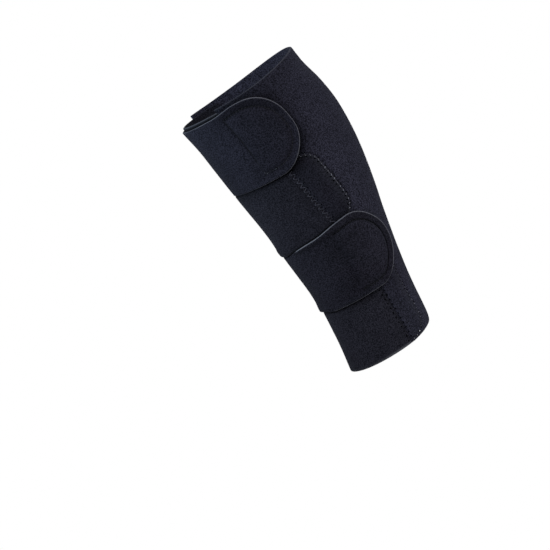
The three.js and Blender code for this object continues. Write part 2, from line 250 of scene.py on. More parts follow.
# ------------------------------------------------------------------------------------------
# Meshes
# ------------------------------------------------------------------------------------------
class Build:
    """Collects points in millimetres, faces, and for each point a flat coordinate and its shares of pale cut edge, also
    used for painted light, and of painted shade.
    """

    def __init__(self):
        self.points, self.flat, self.rim, self.shade, self.faces, self.count = [], [], [], [], [], 0

    def add(self, points, flat, rim, shade=0.0):
        points = np.asarray(points, float).reshape(-1, 3)
        self.points.append(points)
        self.flat.append(np.broadcast_to(np.asarray(flat, float).reshape(-1, 2), (len(points), 2)))
        self.rim.append(np.broadcast_to(np.asarray(rim, float).reshape(-1), (len(points),)))
        self.shade.append(np.broadcast_to(np.asarray(shade, float).reshape(-1), (len(points),)))
        start = self.count
        self.count += len(points)
        return start + np.arange(len(points))

    def face(self, *corners):
        self.faces.append(np.stack([np.asarray(c).reshape(-1) for c in corners], -1))

    def grid(self, ids):
        """Faces of a grid of point numbers, seen from the side where columns run right and rows run up."""
        self.face(ids[:-1, :-1], ids[:-1, 1:], ids[1:, 1:], ids[1:, :-1])

    def strip(self, a, b):
        """Faces between two closed loops of point numbers, b below a as a runs right."""
        self.face(np.roll(a, -1), a, b, np.roll(b, -1))

    def object(self, name, material):
        points = np.concatenate(self.points) * MM
        flat, rim = np.concatenate(self.flat), np.concatenate(self.rim)
        sizes = np.concatenate([np.full(len(f), f.shape[1]) for f in self.faces])
        loops = np.concatenate([f.reshape(-1) for f in self.faces]).astype(np.int32)
        mesh = bpy.data.meshes.new(name)
        mesh.vertices.add(len(points))
        mesh.vertices.foreach_set("co", points.astype(np.float32).reshape(-1))
        mesh.loops.add(len(loops))
        mesh.loops.foreach_set("vertex_index", loops)
        mesh.polygons.add(len(sizes))
        mesh.polygons.foreach_set("loop_start", np.concatenate([[0], np.cumsum(sizes)[:-1]]).astype(np.int32))
        mesh.polygons.foreach_set("loop_total", sizes.astype(np.int32))
        mesh.polygons.foreach_set("use_smooth", np.ones(len(sizes), bool))
        mesh.update(calc_edges=True)
        uv = mesh.uv_layers.new(name="flat")
        uv.data.foreach_set("uv", (flat[loops] * MM).astype(np.float32).reshape(-1))
        for name_of, values in (("rim", rim), ("shade", np.concatenate(self.shade))):
            attribute = mesh.attributes.new(name_of, "FLOAT", "POINT")
            attribute.data.foreach_set("value", values.astype(np.float32))
        mesh.validate()
        mesh.materials.append(material)
        obj = bpy.data.objects.new(name, mesh)
        bpy.context.scene.collection.objects.link(obj)
        return obj


def loop_of(ids):
    """Point numbers round the edge of a grid, anticlockwise."""
    return np.concatenate([ids[0, :-1], ids[:-1, -1], ids[-1, :0:-1], ids[:0:-1, 0]])


def sheet(build, outer, inner, flat, rim, bulge=0.25, steps=3, wall=0.7, shade=0.0):
    """A closed sheet from the grids of its outer and inner faces, with round walls."""
    shape = outer.shape[:2]
    o = build.add(outer, flat, rim, shade).reshape(shape)
    i = build.add(inner, flat, 0.0).reshape(shape)
    build.grid(o)
    build.grid(i[:, ::-1])
    close(build, outer.reshape(-1, 3), inner.reshape(-1, 3), flat.reshape(-1, 2), loop_of(np.arange(o.size).reshape(shape)),
          loop_of(o), loop_of(i), bulge, steps, np.broadcast_to(rim, shape).reshape(-1) * wall)


def close(build, outer, inner, flat, ring, o, i, bulge, steps, rim):
    """Walls between the outer and the inner loop of a sheet, paler at the outer face's cut edge; the pale colour fades
    towards the inner face as painted shade on the wall.
    """
    po, pi = outer[ring], inner[ring]
    tangent = unit(np.roll(po, -1, 0) - np.roll(po, 1, 0))
    across = unit(np.cross(tangent, unit(po - pi)))
    last = o
    for k in range(1, steps + 1):
        w = k / (steps + 1)
        now = build.add(mix(po, pi, w) + across * bulge * math.sin(math.pi * w), flat[ring], rim[ring] * (1 - w) ** 1.5)
        build.strip(last, now)
        last = now
    build.strip(last, i)


def tube(build, path, normal, radius, flatten=0.75, sides=6, rim=0.0):
    """A closed thread along a path, flattened towards the cloth that it lies on."""
    path, n = np.asarray(path, float), len(path)
    t = unit(np.gradient(path, axis=0))
    b = unit(np.cross(t, normal))
    up = unit(np.cross(b, t))
    turn = np.arange(sides) * 2 * math.pi / sides
    taper = np.ones(n)
    taper[0] = taper[-1] = 0.55
    ring = path[:, None] + radius * taper[:, None, None] * (np.cos(turn)[None, :, None] * b[:, None] + flatten * np.sin(turn)[None, :, None] * up[:, None])
    flat = np.stack([np.broadcast_to(np.linspace(0, 1, n)[:, None], (n, sides)), np.broadcast_to(turn[None] / 6.3, (n, sides))], -1)
    ids = build.add(ring, flat.reshape(-1, 2), rim).reshape(n, sides)
    for k in range(n - 1):
        build.face(ids[k], np.roll(ids[k], -1), np.roll(ids[k + 1], -1), ids[k + 1])
    for end, row in ((0, ids[0]), (1, ids[-1])):
        middle = build.add(path[-end], (0, 0), rim)
        m = np.full(sides, middle[0])
        if end:
            build.face(row, np.roll(row, -1), m)
        else:
            build.face(np.roll(row, -1), row, m)


# ------------------------------------------------------------------------------------------
# Panels
# ------------------------------------------------------------------------------------------
STITCH_PITCH = 5.2     # of the flat seam's zigzag
# painted shadow on the calf panel beside the upper strap, by level
UPPER_SHADE = ([205.0, 225.0, 245.0, 265.0, 285.0], [0.85, 0.82, 0.56, 0.50, 0.52], [9.0, 8.0, 7.0, 9.5, 13.0])   # level, depth and reach of the dark beside the upper strap


def seam_dip(d, z):
    """The flat seam pulls the panels' edges in, more at each stitch."""
    return 0.55 * np.exp(-(d / 2.6) ** 2) * (0.8 + 0.2 * np.cos(2 * np.pi * z / STITCH_PITCH))


def settle(share, left, right, level):
    angle = mix(left(150.0), right(150.0), share)
    z = level(angle)
    for _ in range(8):
        angle = mix(left(z), right(z), share)
        z = level(angle)
    return angle, z


# the same share also sets the painted shade in that groove on the calf panel
PATCH_GROOVE = dict(upper=1.0, lower=0.35)     # depth share of the groove that the overcast thread pulls beside each patch
PATCH_EDGES = {}


def patch_groove(angle, z):
    """How firmly places beside the patches are pulled in, 0 to 1."""
    angle, z = np.broadcast_arrays(np.asarray(angle, float), np.asarray(z, float))
    pull = np.zeros(angle.shape)
    for p in PATCHES:
        if p["name"] not in PATCH_EDGES:
            outline = patch_outline(p)[0]
            outline = outline[outline[:, 0] > seam_at(outline[:, 1]) + PATCH_FROM_SEAM + 1.0]
            PATCH_EDGES[p["name"]] = np.stack([np.radians(outline[:, 0]) * (radius_at(outline[:, 1]) - 3.0), outline[:, 1]], -1)
        edge = PATCH_EDGES[p["name"]]
        near = (angle < 70) & (z > p["bottom"] - 8) & (z < p["top"] + 20)
        at = np.stack([np.radians(angle[near]) * (radius_at(z[near]) - 3.0), z[near]], -1)
        d = np.full(len(at), 99.0)
        for k in range(0, len(at), 4000):
            d[k:k + 4000] = np.sqrt(((at[k:k + 4000, None] - edge[None]) ** 2).sum(-1)).min(-1)
        pull[near] = np.maximum(pull[near], PATCH_GROOVE[p["name"]] * np.exp(-((d - 1.7) / 1.2) ** 2))
    return pull


def calf_face(angle, z):
    """Offset of the calf panel's outer face, with the distances that set it: to the seam, to the nearest
    free edge and to the two straps."""
    r = radius_at(z)
    d_seam, d_free = np.radians(angle - seam_at(z)) * r, np.radians(MEDIAL_EDGE - angle) * r
    d_rim, d_hem = hump(angle, CALF_RIM) - z, z - hump(angle, CALF_HEM)
    free = np.minimum(np.minimum(d_rim, d_hem), d_free)
    up, low = past_strap(UPPER, angle, z), past_strap(LOWER, angle, z)
    dent = np.where(up < low, 0.9, 0.35) * np.exp(-(np.maximum(np.minimum(up, low), 0) / 6.5) ** 2) * ease(d_seam, 3, 12) * (1 - patch_cover(angle, z)) * ease(d_rim, 0, 4)
    face = STEP_H * ease(angle, STEP_FROM, STEP_TO) + PANEL_T - round_edge(free, 1.1) - seam_dip(np.abs(d_seam), z) + 0.22 * ripple(angle, z, 1.0) * ease(free, 0, 12) - dent
    groove = patch_groove(angle, z)
    return face - 0.3 * groove, free, up, low, groove


def calf_panel(material):
    u = graded(225.0, 2.2, near=(0, 0.3, 0.7, 1.2, 1.8, 2.5, 3.3, 4.3, 5.6, *np.arange(6.8, 44.0, 1.2)))[None, :]
    v = graded(292.0, 1.3)[:, None]
    angle, z = settle(u, lambda l: seam_at(l) + gap_deg(l), lambda l: MEDIAL_EDGE + 0 * l,
                      lambda a: mix(hump(a, CALF_HEM), hump(a, CALF_RIM), v))
    outer, free, up, low, groove = calf_face(angle, z)
    # painted shadow on the calf panel: darker beside the upper strap and above the lower strap's front, painted shade
    # in the groove beside the patches, and a broad painted shade over the panel's upper front
    beside = np.interp(z, *UPPER_SHADE[:2])
    shade = beside * np.exp(-np.maximum(up, 0) / np.interp(z, UPPER_SHADE[0], UPPER_SHADE[2])) * ease(up, -6.0, -1.0)
    shade = np.maximum(shade, 0.5 * np.exp(-np.maximum(low, 0) / 1.6) * (1 - ease(angle, 26, 34)) * (z > 100))
    shade = np.minimum(np.maximum(shade, 0.4 * groove) + 0.18 * ease(z, 205, 262) * (1 - ease(angle, 42, 85)), 0.9)
    inner = STEP_H * ease(angle, STEP_FROM, STEP_TO) + round_edge(free, 0.7) + 0.1 * ripple(angle, z, 1.0) * ease(free, 0, 12)
    rim = (1 - ease(free, 0.2, 0.8)) * mix(0.45, 1.0, ease(z, 40, 200))
    # painted light round the lower strap's end: the pale edge colour is added to the calf panel there to lift the
    # strap's shadow
    rim = np.maximum(rim, 0.36 * np.exp(-np.maximum(low, 0) / 4.0) * ease(angle, 33, 43) * (1 - ease(angle, 110, 140)))
    build = Build()
    flat = np.stack([np.radians(angle) * 58.0, z], -1)
    sheet(build, on_hollow(angle, z, outer), on_hollow(angle, z, inner), flat, rim, shade=shade)
    return build.object("calf_panel_cloth", material)


def fold_rows():
    """Rows of the front panel, as the two folds that each lies between and its share of the way, with
    the lifts of its outer face and, less steep, of its inner face."""
    ref = np.array([float(edge_level(e, np.array(-85.0))) + d for e, d, _ in FOLDS])
    lift = np.array([l for _, _, l in FOLDS])
    k, f = [], []
    for i in range(len(FOLDS) - 1):
        span = ref[i + 1] - ref[i]
        n = max(int(math.ceil(span / (0.45 if span < 6 else 1.5))), 2)
        k += [i] * n
        f += list(np.arange(n) / n)
    k, f = np.array(k + [len(FOLDS) - 2]), np.array(f + [1.0])
    # closer rows at the two free edges
    extra_lo, extra_hi = np.array([0.22, 0.5, 0.85]), np.array([0.85, 0.5, 0.22])
    lo, hi = extra_lo / (ref[1] - ref[0]), 1 - extra_hi / (ref[-1] - ref[-2])
    k = np.concatenate([k, [0] * 3, [len(FOLDS) - 2] * 3])
    f = np.concatenate([f, lo, hi])
    order = np.lexsort((f, k))
    k, f = k[order], f[order]
    level = mix(ref[k], ref[k + 1], f)
    lift = pchip(level, ref, lift)
    return k, f, lift, (lift[None] + 0.28 * np.abs(level[:, None] - level[None])).min(1)


def lift_share(angle):
    s = LIFT_SHARE
    return ease(angle, s["start"], s["full"]) * mix(1.0, s["at_seam"], ease(angle, s["fade"], s["seam"]))


def front_levels(angle):
    """Levels of the folds at an angle, lowest first, on a new first axis."""
    return np.stack([edge_level(e, angle) + d for e, d, _ in FOLDS])


def front_fold(angle, z):
    """Lift that the folds give the front panel at any place, before its share by angle."""
    angle, z = np.broadcast_arrays(np.asarray(angle, float), np.asarray(z, float))
    ref = np.array([float(edge_level(e, np.array(-85.0))) + d for e, d, _ in FOLDS])
    lift = np.array([l for _, _, l in FOLDS])
    out = np.empty(angle.shape)
    for i, (a, l) in enumerate(zip(angle.reshape(-1), z.reshape(-1))):
        levels = front_levels(np.array(a))
        out.reshape(-1)[i] = pchip(np.array([np.interp(l, levels, ref)]), ref, lift)[0]
    return out


def front_wave(angle, z, lift, free):
    """Slow unevenness of the front panel, none under the straps."""
    clear = ease(np.minimum(np.abs(z - edge_level("up_bottom", angle)), np.abs(z - edge_level("low_top", angle))), 1.0, 14.0)
    return 0.18 * ripple(angle, z, 2.3) * ease(free, 0, 12) * clear * (lift_share(angle) > 0) * ease(lift, 0.1, 1.0)


def front_panel(material):
    k, f, lift, under = (x[:, None] for x in fold_rows())
    u = graded(150.0, 1.9, far=(0, 0.3, 0.7, 1.2, 1.8, 2.5, 3.3, 4.3, 5.6))[None, :]

    def level(a):
        rows = front_levels(a)
        i = np.broadcast_to(k, a.shape)
        j = np.broadcast_to(np.arange(a.shape[0])[:, None], a.shape)
        c = np.broadcast_to(np.arange(a.shape[1])[None], a.shape)
        return mix(rows[i, j, c], rows[i + 1, j, c], f)

    start = np.broadcast_to(mix(UNDERLAP_END, 0.0, u), (len(k), u.shape[1]))
    z = level(start)
    for _ in range(8):
        angle = mix(UNDERLAP_END, seam_at(z) - gap_deg(z), u)
        z = level(angle)
    r = radius_at(z)
    d_seam, d_end = np.radians(seam_at(z) - angle) * r, np.radians(angle - UNDERLAP_END) * r
    d_rim, d_hem = FRONT_RIM - z, z - hump(angle, CALF_HEM)
    free = np.minimum(np.minimum(d_rim, d_hem), d_end)
    base = lift * lift_share(angle)
    wave = front_wave(angle, z, lift, free)
    outer = base + PANEL_T - round_edge(free, 1.1) - seam_dip(d_seam, z) + wave
    inner = np.minimum(under * lift_share(angle), 0.28 * d_seam) + round_edge(free, 0.7) + wave * ease(d_seam, 0, 14)
    rim = np.maximum(mix(0.10, 0.5, ease(angle, -36, 12)) * (1 - ease(free, 1.0, 2.2)), 0.44 * (1 - ease(d_rim, 0.2, 0.8)))
    # painted shadow on the front panel: near black in the gap above the upper strap, dark under its lower edge and
    # along both edges of the lower strap, and darker towards the hem and towards the seam; none where the pale edge
    # shows
    up, low = np.maximum(past_strap(UPPER, angle, z), 0), np.maximum(past_strap(LOWER, angle, z), 0)
    above, over = z > strap_mid(UPPER), z > strap_mid(LOWER)
    shade = np.where(above, 0.95 * np.exp(-(up / 3.2) ** 2), 0.82 * np.exp(-up / 4.2))
    shade = np.maximum(shade, np.where(over, 0.30 * np.exp(-low / 1.6) + mix(0.14, 0.24, ease(angle, -30, 0)) * (1 - ease(low, 8.0, 26.0)), 0.74 * np.exp(-low / 3.0)))
    shade = np.maximum(np.maximum(shade, 0.12 * (1 - ease(z, 6, 45))), np.maximum(0.27 * (1 - ease(d_seam, 4, 26)), 0.15 * (1 - ease(d_seam, 28, 52))) * ease(z, 70, 125)) * (1 - rim)
    build = Build()
    flat = np.stack([np.radians(angle) * 58.0, z], -1)
    sheet(build, on_hollow(angle, z, outer), on_hollow(angle, z, inner), flat, rim, shade=shade)
    return build.object("front_panel_cloth", material)


# ------------------------------------------------------------------------------------------
# Straps and hook pads
# ------------------------------------------------------------------------------------------
def patch_top(patch, angle):
    return patch["top"] + patch["slant"] * np.maximum(np.asarray(angle, float) - patch["slant_from"], 0)


def patch_outline(patch, count=240):
    """Angles and levels round a patch, anticlockwise from its lower front corner, evenly spaced."""
    left = lambda z: seam_at(z) + PATCH_FROM_SEAM
    right = lambda z: patch["right"] + patch["lean"] * (patch["mid"] - z)
    c, top, bottom = patch["corner"], patch["top"], patch["bottom"]
    q = np.linspace(0, math.pi / 2, 24)
    r = lambda z: radius_at(z) - 3.0

    def low(a):
        return np.maximum(bottom, hump(a, CALF_HEM) + 1.2)

    pts = []
    a1 = right(bottom + c) - np.degrees(c / r(bottom + c))
    for a in np.linspace(left(np.array(bottom)), a1, 20):
        pts.append((float(a), float(low(a))))
    for t in q[1:]:
        a = a1 + np.degrees(c * math.sin(t) / r(bottom + c))
        pts.append((float(a), float(low(np.array(a)) + c * (1 - math.cos(t)))))
    z0, c, z1 = pts[-1][1], patch["corner_top"], top - patch["corner_top"]
    for _ in range(12):
        z1 = float(patch_top(patch, right(z1) - np.degrees(c / r(z1)))) - c
    for z in np.linspace(z0, z1, 30)[1:]:
        pts.append((float(right(z)), float(z)))
    a2 = right(z1)
    for t in q[1:]:
        pts.append((float(a2 - np.degrees(c * (1 - math.cos(t)) / r(z1))), float(z1 + c * math.sin(t))))
    for s in np.linspace(0, 1, 14)[1:]:
        a = float(mix(a2 - np.degrees(c / r(z1)), left(np.array(top)), s))
        pts.append((a, float(patch_top(patch, a))))
    for z in np.linspace(top, bottom, 40)[1:-1]:
        pts.append((float(left(np.array(z))), float(z)))
    pts = np.array(pts)
    closed = np.vstack([pts, pts[:1]])
    flat = np.stack([np.radians(closed[:, 0]) * r(closed[:, 1]), closed[:, 1]], -1)
    s = np.concatenate([[0], np.cumsum(np.linalg.norm(np.diff(flat, axis=0), axis=1))])
    at = np.linspace(0, s[-1], count, endpoint=False)
    return np.stack([np.interp(at, s, closed[:, 0]), np.interp(at, s, closed[:, 1])], -1), s[-1]


def patch_cover(angle, z):
    """1 over a patch and 0 away from it, for what lies on top."""
    cover = np.zeros(np.broadcast(angle, z).shape)
    for p in PATCHES:
        right = p["right"] + p["lean"] * (p["mid"] - z)
        a = ease(angle, seam_at(z) - 3.0, seam_at(z) + 1.0) * (1 - ease(angle, right + 0.5, right + 5.0))
        b = ease(z, p["bottom"] - 4.0, p["bottom"] - 0.3) * (1 - ease(z - patch_top(p, angle), 0.3, 4.0))
        cover = np.maximum(cover, a * b)
    return cover


def round_end(s, p, q, inset=0.0):
    """Angles and levels on a strap's round end: p runs 0 to 1 along it, q -1 to 1 across it."""
    rho = np.maximum(np.abs(q), p)
    ahead = p >= np.abs(q)
    with np.errstate(divide="ignore", invalid="ignore"):
        turn = np.where(ahead, np.pi / 4 * np.where(p > 0, q / np.where(p > 0, p, 1), 0),
                        np.sign(q) * (np.pi / 2 - np.pi / 4 * p / np.where(q != 0, np.abs(q), 1)))
    x, y = rho * np.cos(turn), rho * np.sin(turn)
    full = 1 + np.where(y > 0, s["full_top"], s["full_bottom"]) * np.sin(2 * turn) ** 2 * rho**2
    top, bottom = strap_top(s, s["centre"]), strap_bottom(s, s["centre"])
    z = (top + bottom) / 2 + ((top - bottom) / 2 - inset) * y * full
    return to_angle(s["centre"] + (s["reach"] - inset) * x * full, z), z, rho


STRAP_INSETS = np.array([0, 0.2, 0.45, 0.8, 1.2, 1.7, 2.3, 3.0, 3.7, 4.3, 4.8, 5.1, 5.4, 5.65, 5.9, 6.1, 6.3, 6.5, 6.7, 6.9, 7.1, 7.3, 7.5, 7.75, 8.1, 8.6, 9.4, 11.0, 13.0, 15.5, 18.5, 22.0, 26.0, 30.0, 34.0])


def strap_places(s):
    """Angles, levels and distances to the edges and to the stitched outline, over a whole strap."""
    half = (strap_top(s, s["centre"]) - strap_bottom(s, s["centre"])) / 2
    insets = STRAP_INSETS[STRAP_INSETS < half - 2]
    share = np.concatenate([1 - insets / half, [0.0]])             # 1 at the edge, 0 in the middle
    q = np.concatenate([-share[:-1], share[::-1]])
    p = share[::-1][1:]
    mid = strap_mid(s)
    first, centre, pad = float(to_length(STRAP_ROOT, mid)), s["centre"], s["pad_from"]
    lengths = np.concatenate([
        first + 0.35 + np.array(EDGE_LINES), np.arange(first + 6.0, pad - 5.0, 2.0),
        pad + np.array([-4.5, -3.3, -2.4, -1.7, -1.2, -0.8, -0.5, -0.25, 0, 0.25, 0.5, 0.8, 1.2, 1.7, 2.4, 3.3, 4.5]),
        np.linspace(pad + 6.0, centre, max(int((centre - pad - 6) / 1.8), 2))])
    L, Q = np.meshgrid(lengths, q)
    z = mix(strap_bottom(s, L), strap_top(s, L), (Q + 1) / 2)
    way = (L - first) / (centre - first)
    angle = mix(STRAP_ROOT, to_angle(centre, z), way)
    inset = (1 - np.abs(Q)) * (strap_top(s, L) - strap_bottom(s, L)) / 2
    P2, Q2 = np.meshgrid(p, q)
    angle2, z2, rho = round_end(s, P2, Q2)
    angle, z = np.hstack([angle, angle2]), np.hstack([z, z2])
    inset = np.hstack([inset, (1 - rho) * half])
    length = np.hstack([L, to_length(angle2, z2)])
    ahead = np.hstack([L, np.full_like(P2, centre + 20.0)])
    return angle, z, inset, length, ahead, first


def strap_outline(s):
    """Angles and levels along a strap's edge, from its upper edge at the root round its end and back below."""
    first, centre = float(to_length(STRAP_ROOT, strap_mid(s))), s["centre"]
    L = np.linspace(first, centre, 120)
    turn = np.linspace(np.pi / 2, -np.pi / 2, 140)[1:-1]
    p = np.where(np.abs(turn) <= np.pi / 4, 1.0, (np.pi / 2 - np.abs(turn)) / (np.pi / 4))
    end, end_z, _ = round_end(s, p, np.clip(turn / (np.pi / 4), -1, 1))
    z = np.concatenate([strap_top(s, L), strap_bottom(s, L[::-1])])
    way = (np.concatenate([L, L[::-1]]) - first) / (centre - first)
    angle = mix(STRAP_ROOT, to_angle(centre, z), way)
    return np.concatenate([angle[:120], end, angle[120:]]), np.concatenate([z[:120], end_z, z[120:]])


def past_strap(s, angle, z):
    """How far places lie outside a strap's edge, in millimetres; negative under the strap."""
    angle, z = np.broadcast_arrays(np.asarray(angle, float), np.asarray(z, float))
    oa, oz = strap_outline(s)
    ox = np.radians(oa) * radius_at(oz)
    px, pz = (np.radians(angle) * radius_at(z)).reshape(-1), z.reshape(-1)
    out = np.empty(len(px))
    nx, nz = np.roll(ox, -1), np.roll(oz, -1)
    for k in range(0, len(px), 4000):
        x, y = px[k:k + 4000, None], pz[k:k + 4000, None]
        d = np.sqrt(((x - ox) ** 2 + (y - oz) ** 2).min(1))
        with np.errstate(divide="ignore", invalid="ignore"):
            crossing = ((oz > y) != (nz > y)) & (x < ox + (nx - ox) * (y - oz) / np.where(nz == oz, 1e-9, nz - oz))
        out[k:k + 4000] = np.where(crossing.sum(1) % 2 == 1, -d, d)
    return out.reshape(angle.shape)


def sewn_inset(s, z, length):
    """Margin of the sewn line at a place: one at the top, one at the tip of the end and one at the bottom."""
    top, tip, bottom = s["sewn"]
    side = np.clip((z - strap_bottom(s, length)) / (strap_top(s, length) - strap_bottom(s, length)), 0, 1)
    straight = mix(bottom, top, ease(side, 0.35, 0.65))
    out = ease(length - s["centre"], 4.0, 0.75 * s["reach"])
    return mix(straight, tip, out)


EDGE_HEIGHTS = (0.0, 0.12, 0.3, 0.75, 0.95, 1.0)      # shares of a strap's width, for its tables


def sewn_line(s, z, inset, length, ahead):
    """How far places lie inside the sewn line round a strap's pad, and how firmly it is pressed in there."""
    margin, front = inset - sewn_inset(s, z, length), ahead - s["pad_from"]
    firm = mix(0.3, 1.0, ease(z - strap_bottom(s, length), *s["line_fade"])) * s["front_line"]
    height = (z - strap_bottom(s, length)) / (strap_top(s, length) - strap_bottom(s, length))
    curve = np.interp(height, EDGE_HEIGHTS, s["line_shares"])
    return np.minimum(margin, front), mix(firm, curve, ease(front - margin, -1.0, 1.0))


def strap_profile(s, angle, z, inset, length, ahead):
    """Outer and inner offsets of a strap: down on the front panel at the front, up over its pad at the
    round end, with the pad's outline sewn down and the margin curling up a little at the edge."""
    inside, firm = sewn_line(s, z, inset, length, ahead)
    climb = ease(length, s["climb_from"], s["climb_to"])
    base = PANEL_T + GAP + climb * (1.1 + 0.45 * ease(inside, -1.9, 0.5))
    base = base + np.maximum(PANEL_T + GAP + PATCH_T + 0.2 - base, 0) * patch_cover(angle, z)
    groove = firm * (1.05 * np.exp(-(inside / 0.7) ** 2) + 0.30 * np.exp(-(inside / 2.0) ** 2))
    puff = s["puff"][0] * ease(inside, 0.0, s["puff"][1])
    upturn = mix(s["curl"][0], s["curl"][1], ease(strap_top(s, length) - z, 8.0, 34.0)) * (1 - ease(inset, 0.3, 5.0)) * climb
    flare = s["flare"] * (1 - ease(z - strap_bottom(s, length), 1.0, 12.0)) * (1 - ease(length, -56, -34)) * ease(length, -120, -100)
    wave = 0.14 * ripple(angle, z, 3.1 + s["reach"]) * ease(inset, 0, 10)
    outer = base + STRAP_T - groove + puff + upturn + flare + wave - round_edge(inset, mix(0.5, 0.9, ease(length, s["edge_from"], s["edge_to"])))
    return outer, base + upturn + flare + round_edge(inset, 0.6)


def strap_cloth(s, material):
    angle, z, inset, length, ahead, first = strap_places(s)
    outer, inner = strap_profile(s, angle, z, inset, length, ahead)
    # the pale cut edge is thin along the top, full round the end and dull along the bottom; its shares by height are
    # also set against the light as painted light and shade: lower along the top, which faces the key light, and higher
    # round the end; it is dimmed along two stretches where it catches the light, and the wall keeps less of it along
    # the top, where it faces the light
    height = (z - strap_bottom(s, length)) / (strap_top(s, length) - strap_bottom(s, length))
    share = np.interp(height, EDGE_HEIGHTS, s["edge_shares"])
    wide = mix(s["edge_thin"], s["edge_wide"], ease(length - s["centre"], 8.0, 26.0))
    rim = (1 - ease(inset / wide, 0.15, 1.0)) * ease(length, s["edge_from"], s["edge_to"]) * share
    if s is LOWER:
        rim = rim * (1 - 0.28 * ease(length, -8, 6) * (1 - ease(length, 30, 42)) * ease(height, 0.9, 0.97))
    else:
        rim = rim * (1 - 0.5 * np.exp(-((length + 77.0) / 17.0) ** 2))
    wall = mix(0.7, s["edge_wall"], ease(height, 0.6, 0.95))
    # painted shade in the groove of the sewn line, and a soft painted shade along the pad's straight edge
    inside, firm = sewn_line(s, z, inset, length, ahead)
    shade = firm * (0.58 * np.exp(-(inside / 0.8) ** 2) + 0.12 * np.exp(-(inside / 2.4) ** 2))
    shade = shade + s["soft_line"] * np.exp(-((ahead - s["pad_from"]) / 4.0) ** 2) * ease(inset, 8.0, 14.0)
    # painted shade where less light falls: the crease along the upper edge, the margin that curls up and the hollow
    # before the pad
    upper = ease(height, 0.6, 0.8) * ease(length, -50, -40)
    band = s["band"] * np.exp(-((inset - np.interp(length, *CREASE)) / 1.7) ** 2) * upper * (1 - ease(length, 2, 14))
    edge = s["margin"] * (1 - ease(inside, -1.5, 0.0)) * ease(inset, 0.5, 1.5) * ease(height, 0.35, 0.8) * ease(length, -40, -26)
    at, reach, depth = s["dusk"]
    shade = np.minimum(np.maximum(shade, band) + edge + depth * np.exp(-((length - at) / reach) ** 2) * (1 - band), 0.9)
    # painted shade along the lower part of the lower strap's front
    if s is LOWER:
        shade = np.minimum(shade + 0.13 * (1 - ease(height, 0.15, 0.5)) * (1 - ease(length, -6, 14)), 0.9)
    # painted light on the pad's far side: the rest of the strap is darkened by painted shade, and the far side keeps
    # the lighter colour of its knit
    start, end, depth = s["bright"]
    shade = 1 - (1 - shade) * (1 - depth * (1 - ease(length, start, end) * ease(inside, 0.0, 1.5)) * (1 - rim))
    build = Build()
    flat = np.stack([length, z], -1)
    sheet(build, on_hollow(angle, z, outer), on_hollow(angle, z, inner), flat, rim, wall=wall.reshape(-1), shade=shade)
    return build.object(f"{s['name']}_strap_cloth", material)


def pad_outline(s):
    """Places along the sewn outline of a strap's pad: angle, level and offset, from its lower front corner."""
    half = (strap_top(s, s["centre"]) - strap_bottom(s, s["centre"])) / 2
    first, centre, ahead = float(to_length(STRAP_ROOT, strap_mid(s))), s["centre"], s["pad_from"]
    top, tip, bottom = s["sewn"]
    L1 = np.full(60, ahead)
    z1 = mix(strap_bottom(s, L1) + bottom, strap_top(s, L1) - top, np.linspace(0, 1, 60))
    L2 = np.linspace(ahead, centre, 40)
    turn = np.linspace(np.pi / 2, -np.pi / 2, 160)
    slope, run = np.clip(turn / (np.pi / 4), -1, 1), np.where(np.abs(turn) <= np.pi / 4, 1.0, (np.pi / 2 - np.abs(turn)) / (np.pi / 4))
    inset = np.where(turn > 0, top, bottom)
    for _ in range(6):
        rho = 1 - inset / half
        a3, z3, _ = round_end(s, rho * run, rho * slope)
        inset = sewn_inset(s, z3, to_length(a3, z3))
    L = np.concatenate([L1, L2[1:], L2[::-1][1:-1]])
    z = np.concatenate([z1, strap_top(s, L2[1:]) - top, strap_bottom(s, L2[::-1][1:-1]) + bottom])
    angle = mix(STRAP_ROOT, to_angle(centre, z), (L - first) / (centre - first))
    cut = 60 + 39
    edge = np.minimum(strap_top(s, L) - z, z - strap_bottom(s, L))
    angle, z = np.concatenate([angle[:cut], a3[1:-1], angle[cut:]]), np.concatenate([z[:cut], z3[1:-1], z[cut:]])
    length = np.concatenate([L[:cut], to_length(a3[1:-1], z3[1:-1]), L[cut:]])
    forward = np.concatenate([L[:cut], np.full(len(a3) - 2, centre + 20.0), L[cut:]])
    inset = np.concatenate([edge[:cut], inset[1:-1], edge[cut:]])
    return angle, z, strap_profile(s, angle, z, inset, length, forward)[0]


def hook_pad(s, material):
    half = (strap_top(s, s["centre"]) - strap_bottom(s, s["centre"])) / 2
    share = np.concatenate([1 - np.array([0, 0.3, 0.8, 1.6, 3, 5, 8, 12, 16, 20, 24, 28]) / (half - s["pad_inset"]), [0.0]])
    share = share[share >= 0]
    q, p = np.concatenate([-share[:-1], share[::-1]]), share[::-1][1:]
    lengths = s["pad_from"] + 0.6 + np.concatenate([[0, 0.3, 0.8, 1.6], np.linspace(3, s["centre"] - s["pad_from"] - 0.6, 7)])
    L, Q = np.meshgrid(lengths, q)
    inset = s["pad_inset"] + 0.2
    z = mix(strap_bottom(s, L) + inset, strap_top(s, L) - inset, (Q + 1) / 2)
    P2, Q2 = np.meshgrid(p, q)
    a2, z2, _ = round_end(s, P2, Q2, inset)
    angle, z = np.hstack([to_angle(L, z), a2]), np.hstack([z, z2])
    build = Build()
    flat = np.stack([to_length(angle, z), z], -1)
    sheet(build, on_hollow(angle, z, PANEL_T + GAP + PAD_T - 0.05), on_hollow(angle, z, PANEL_T + GAP - 0.1), flat, 0.0, bulge=0.1, steps=1)
    return build.object(f"{s['name']}_hook_pad_tape", material)


# ------------------------------------------------------------------------------------------
# Loop patches
# ------------------------------------------------------------------------------------------
OVERCAST_PITCH = 4.7


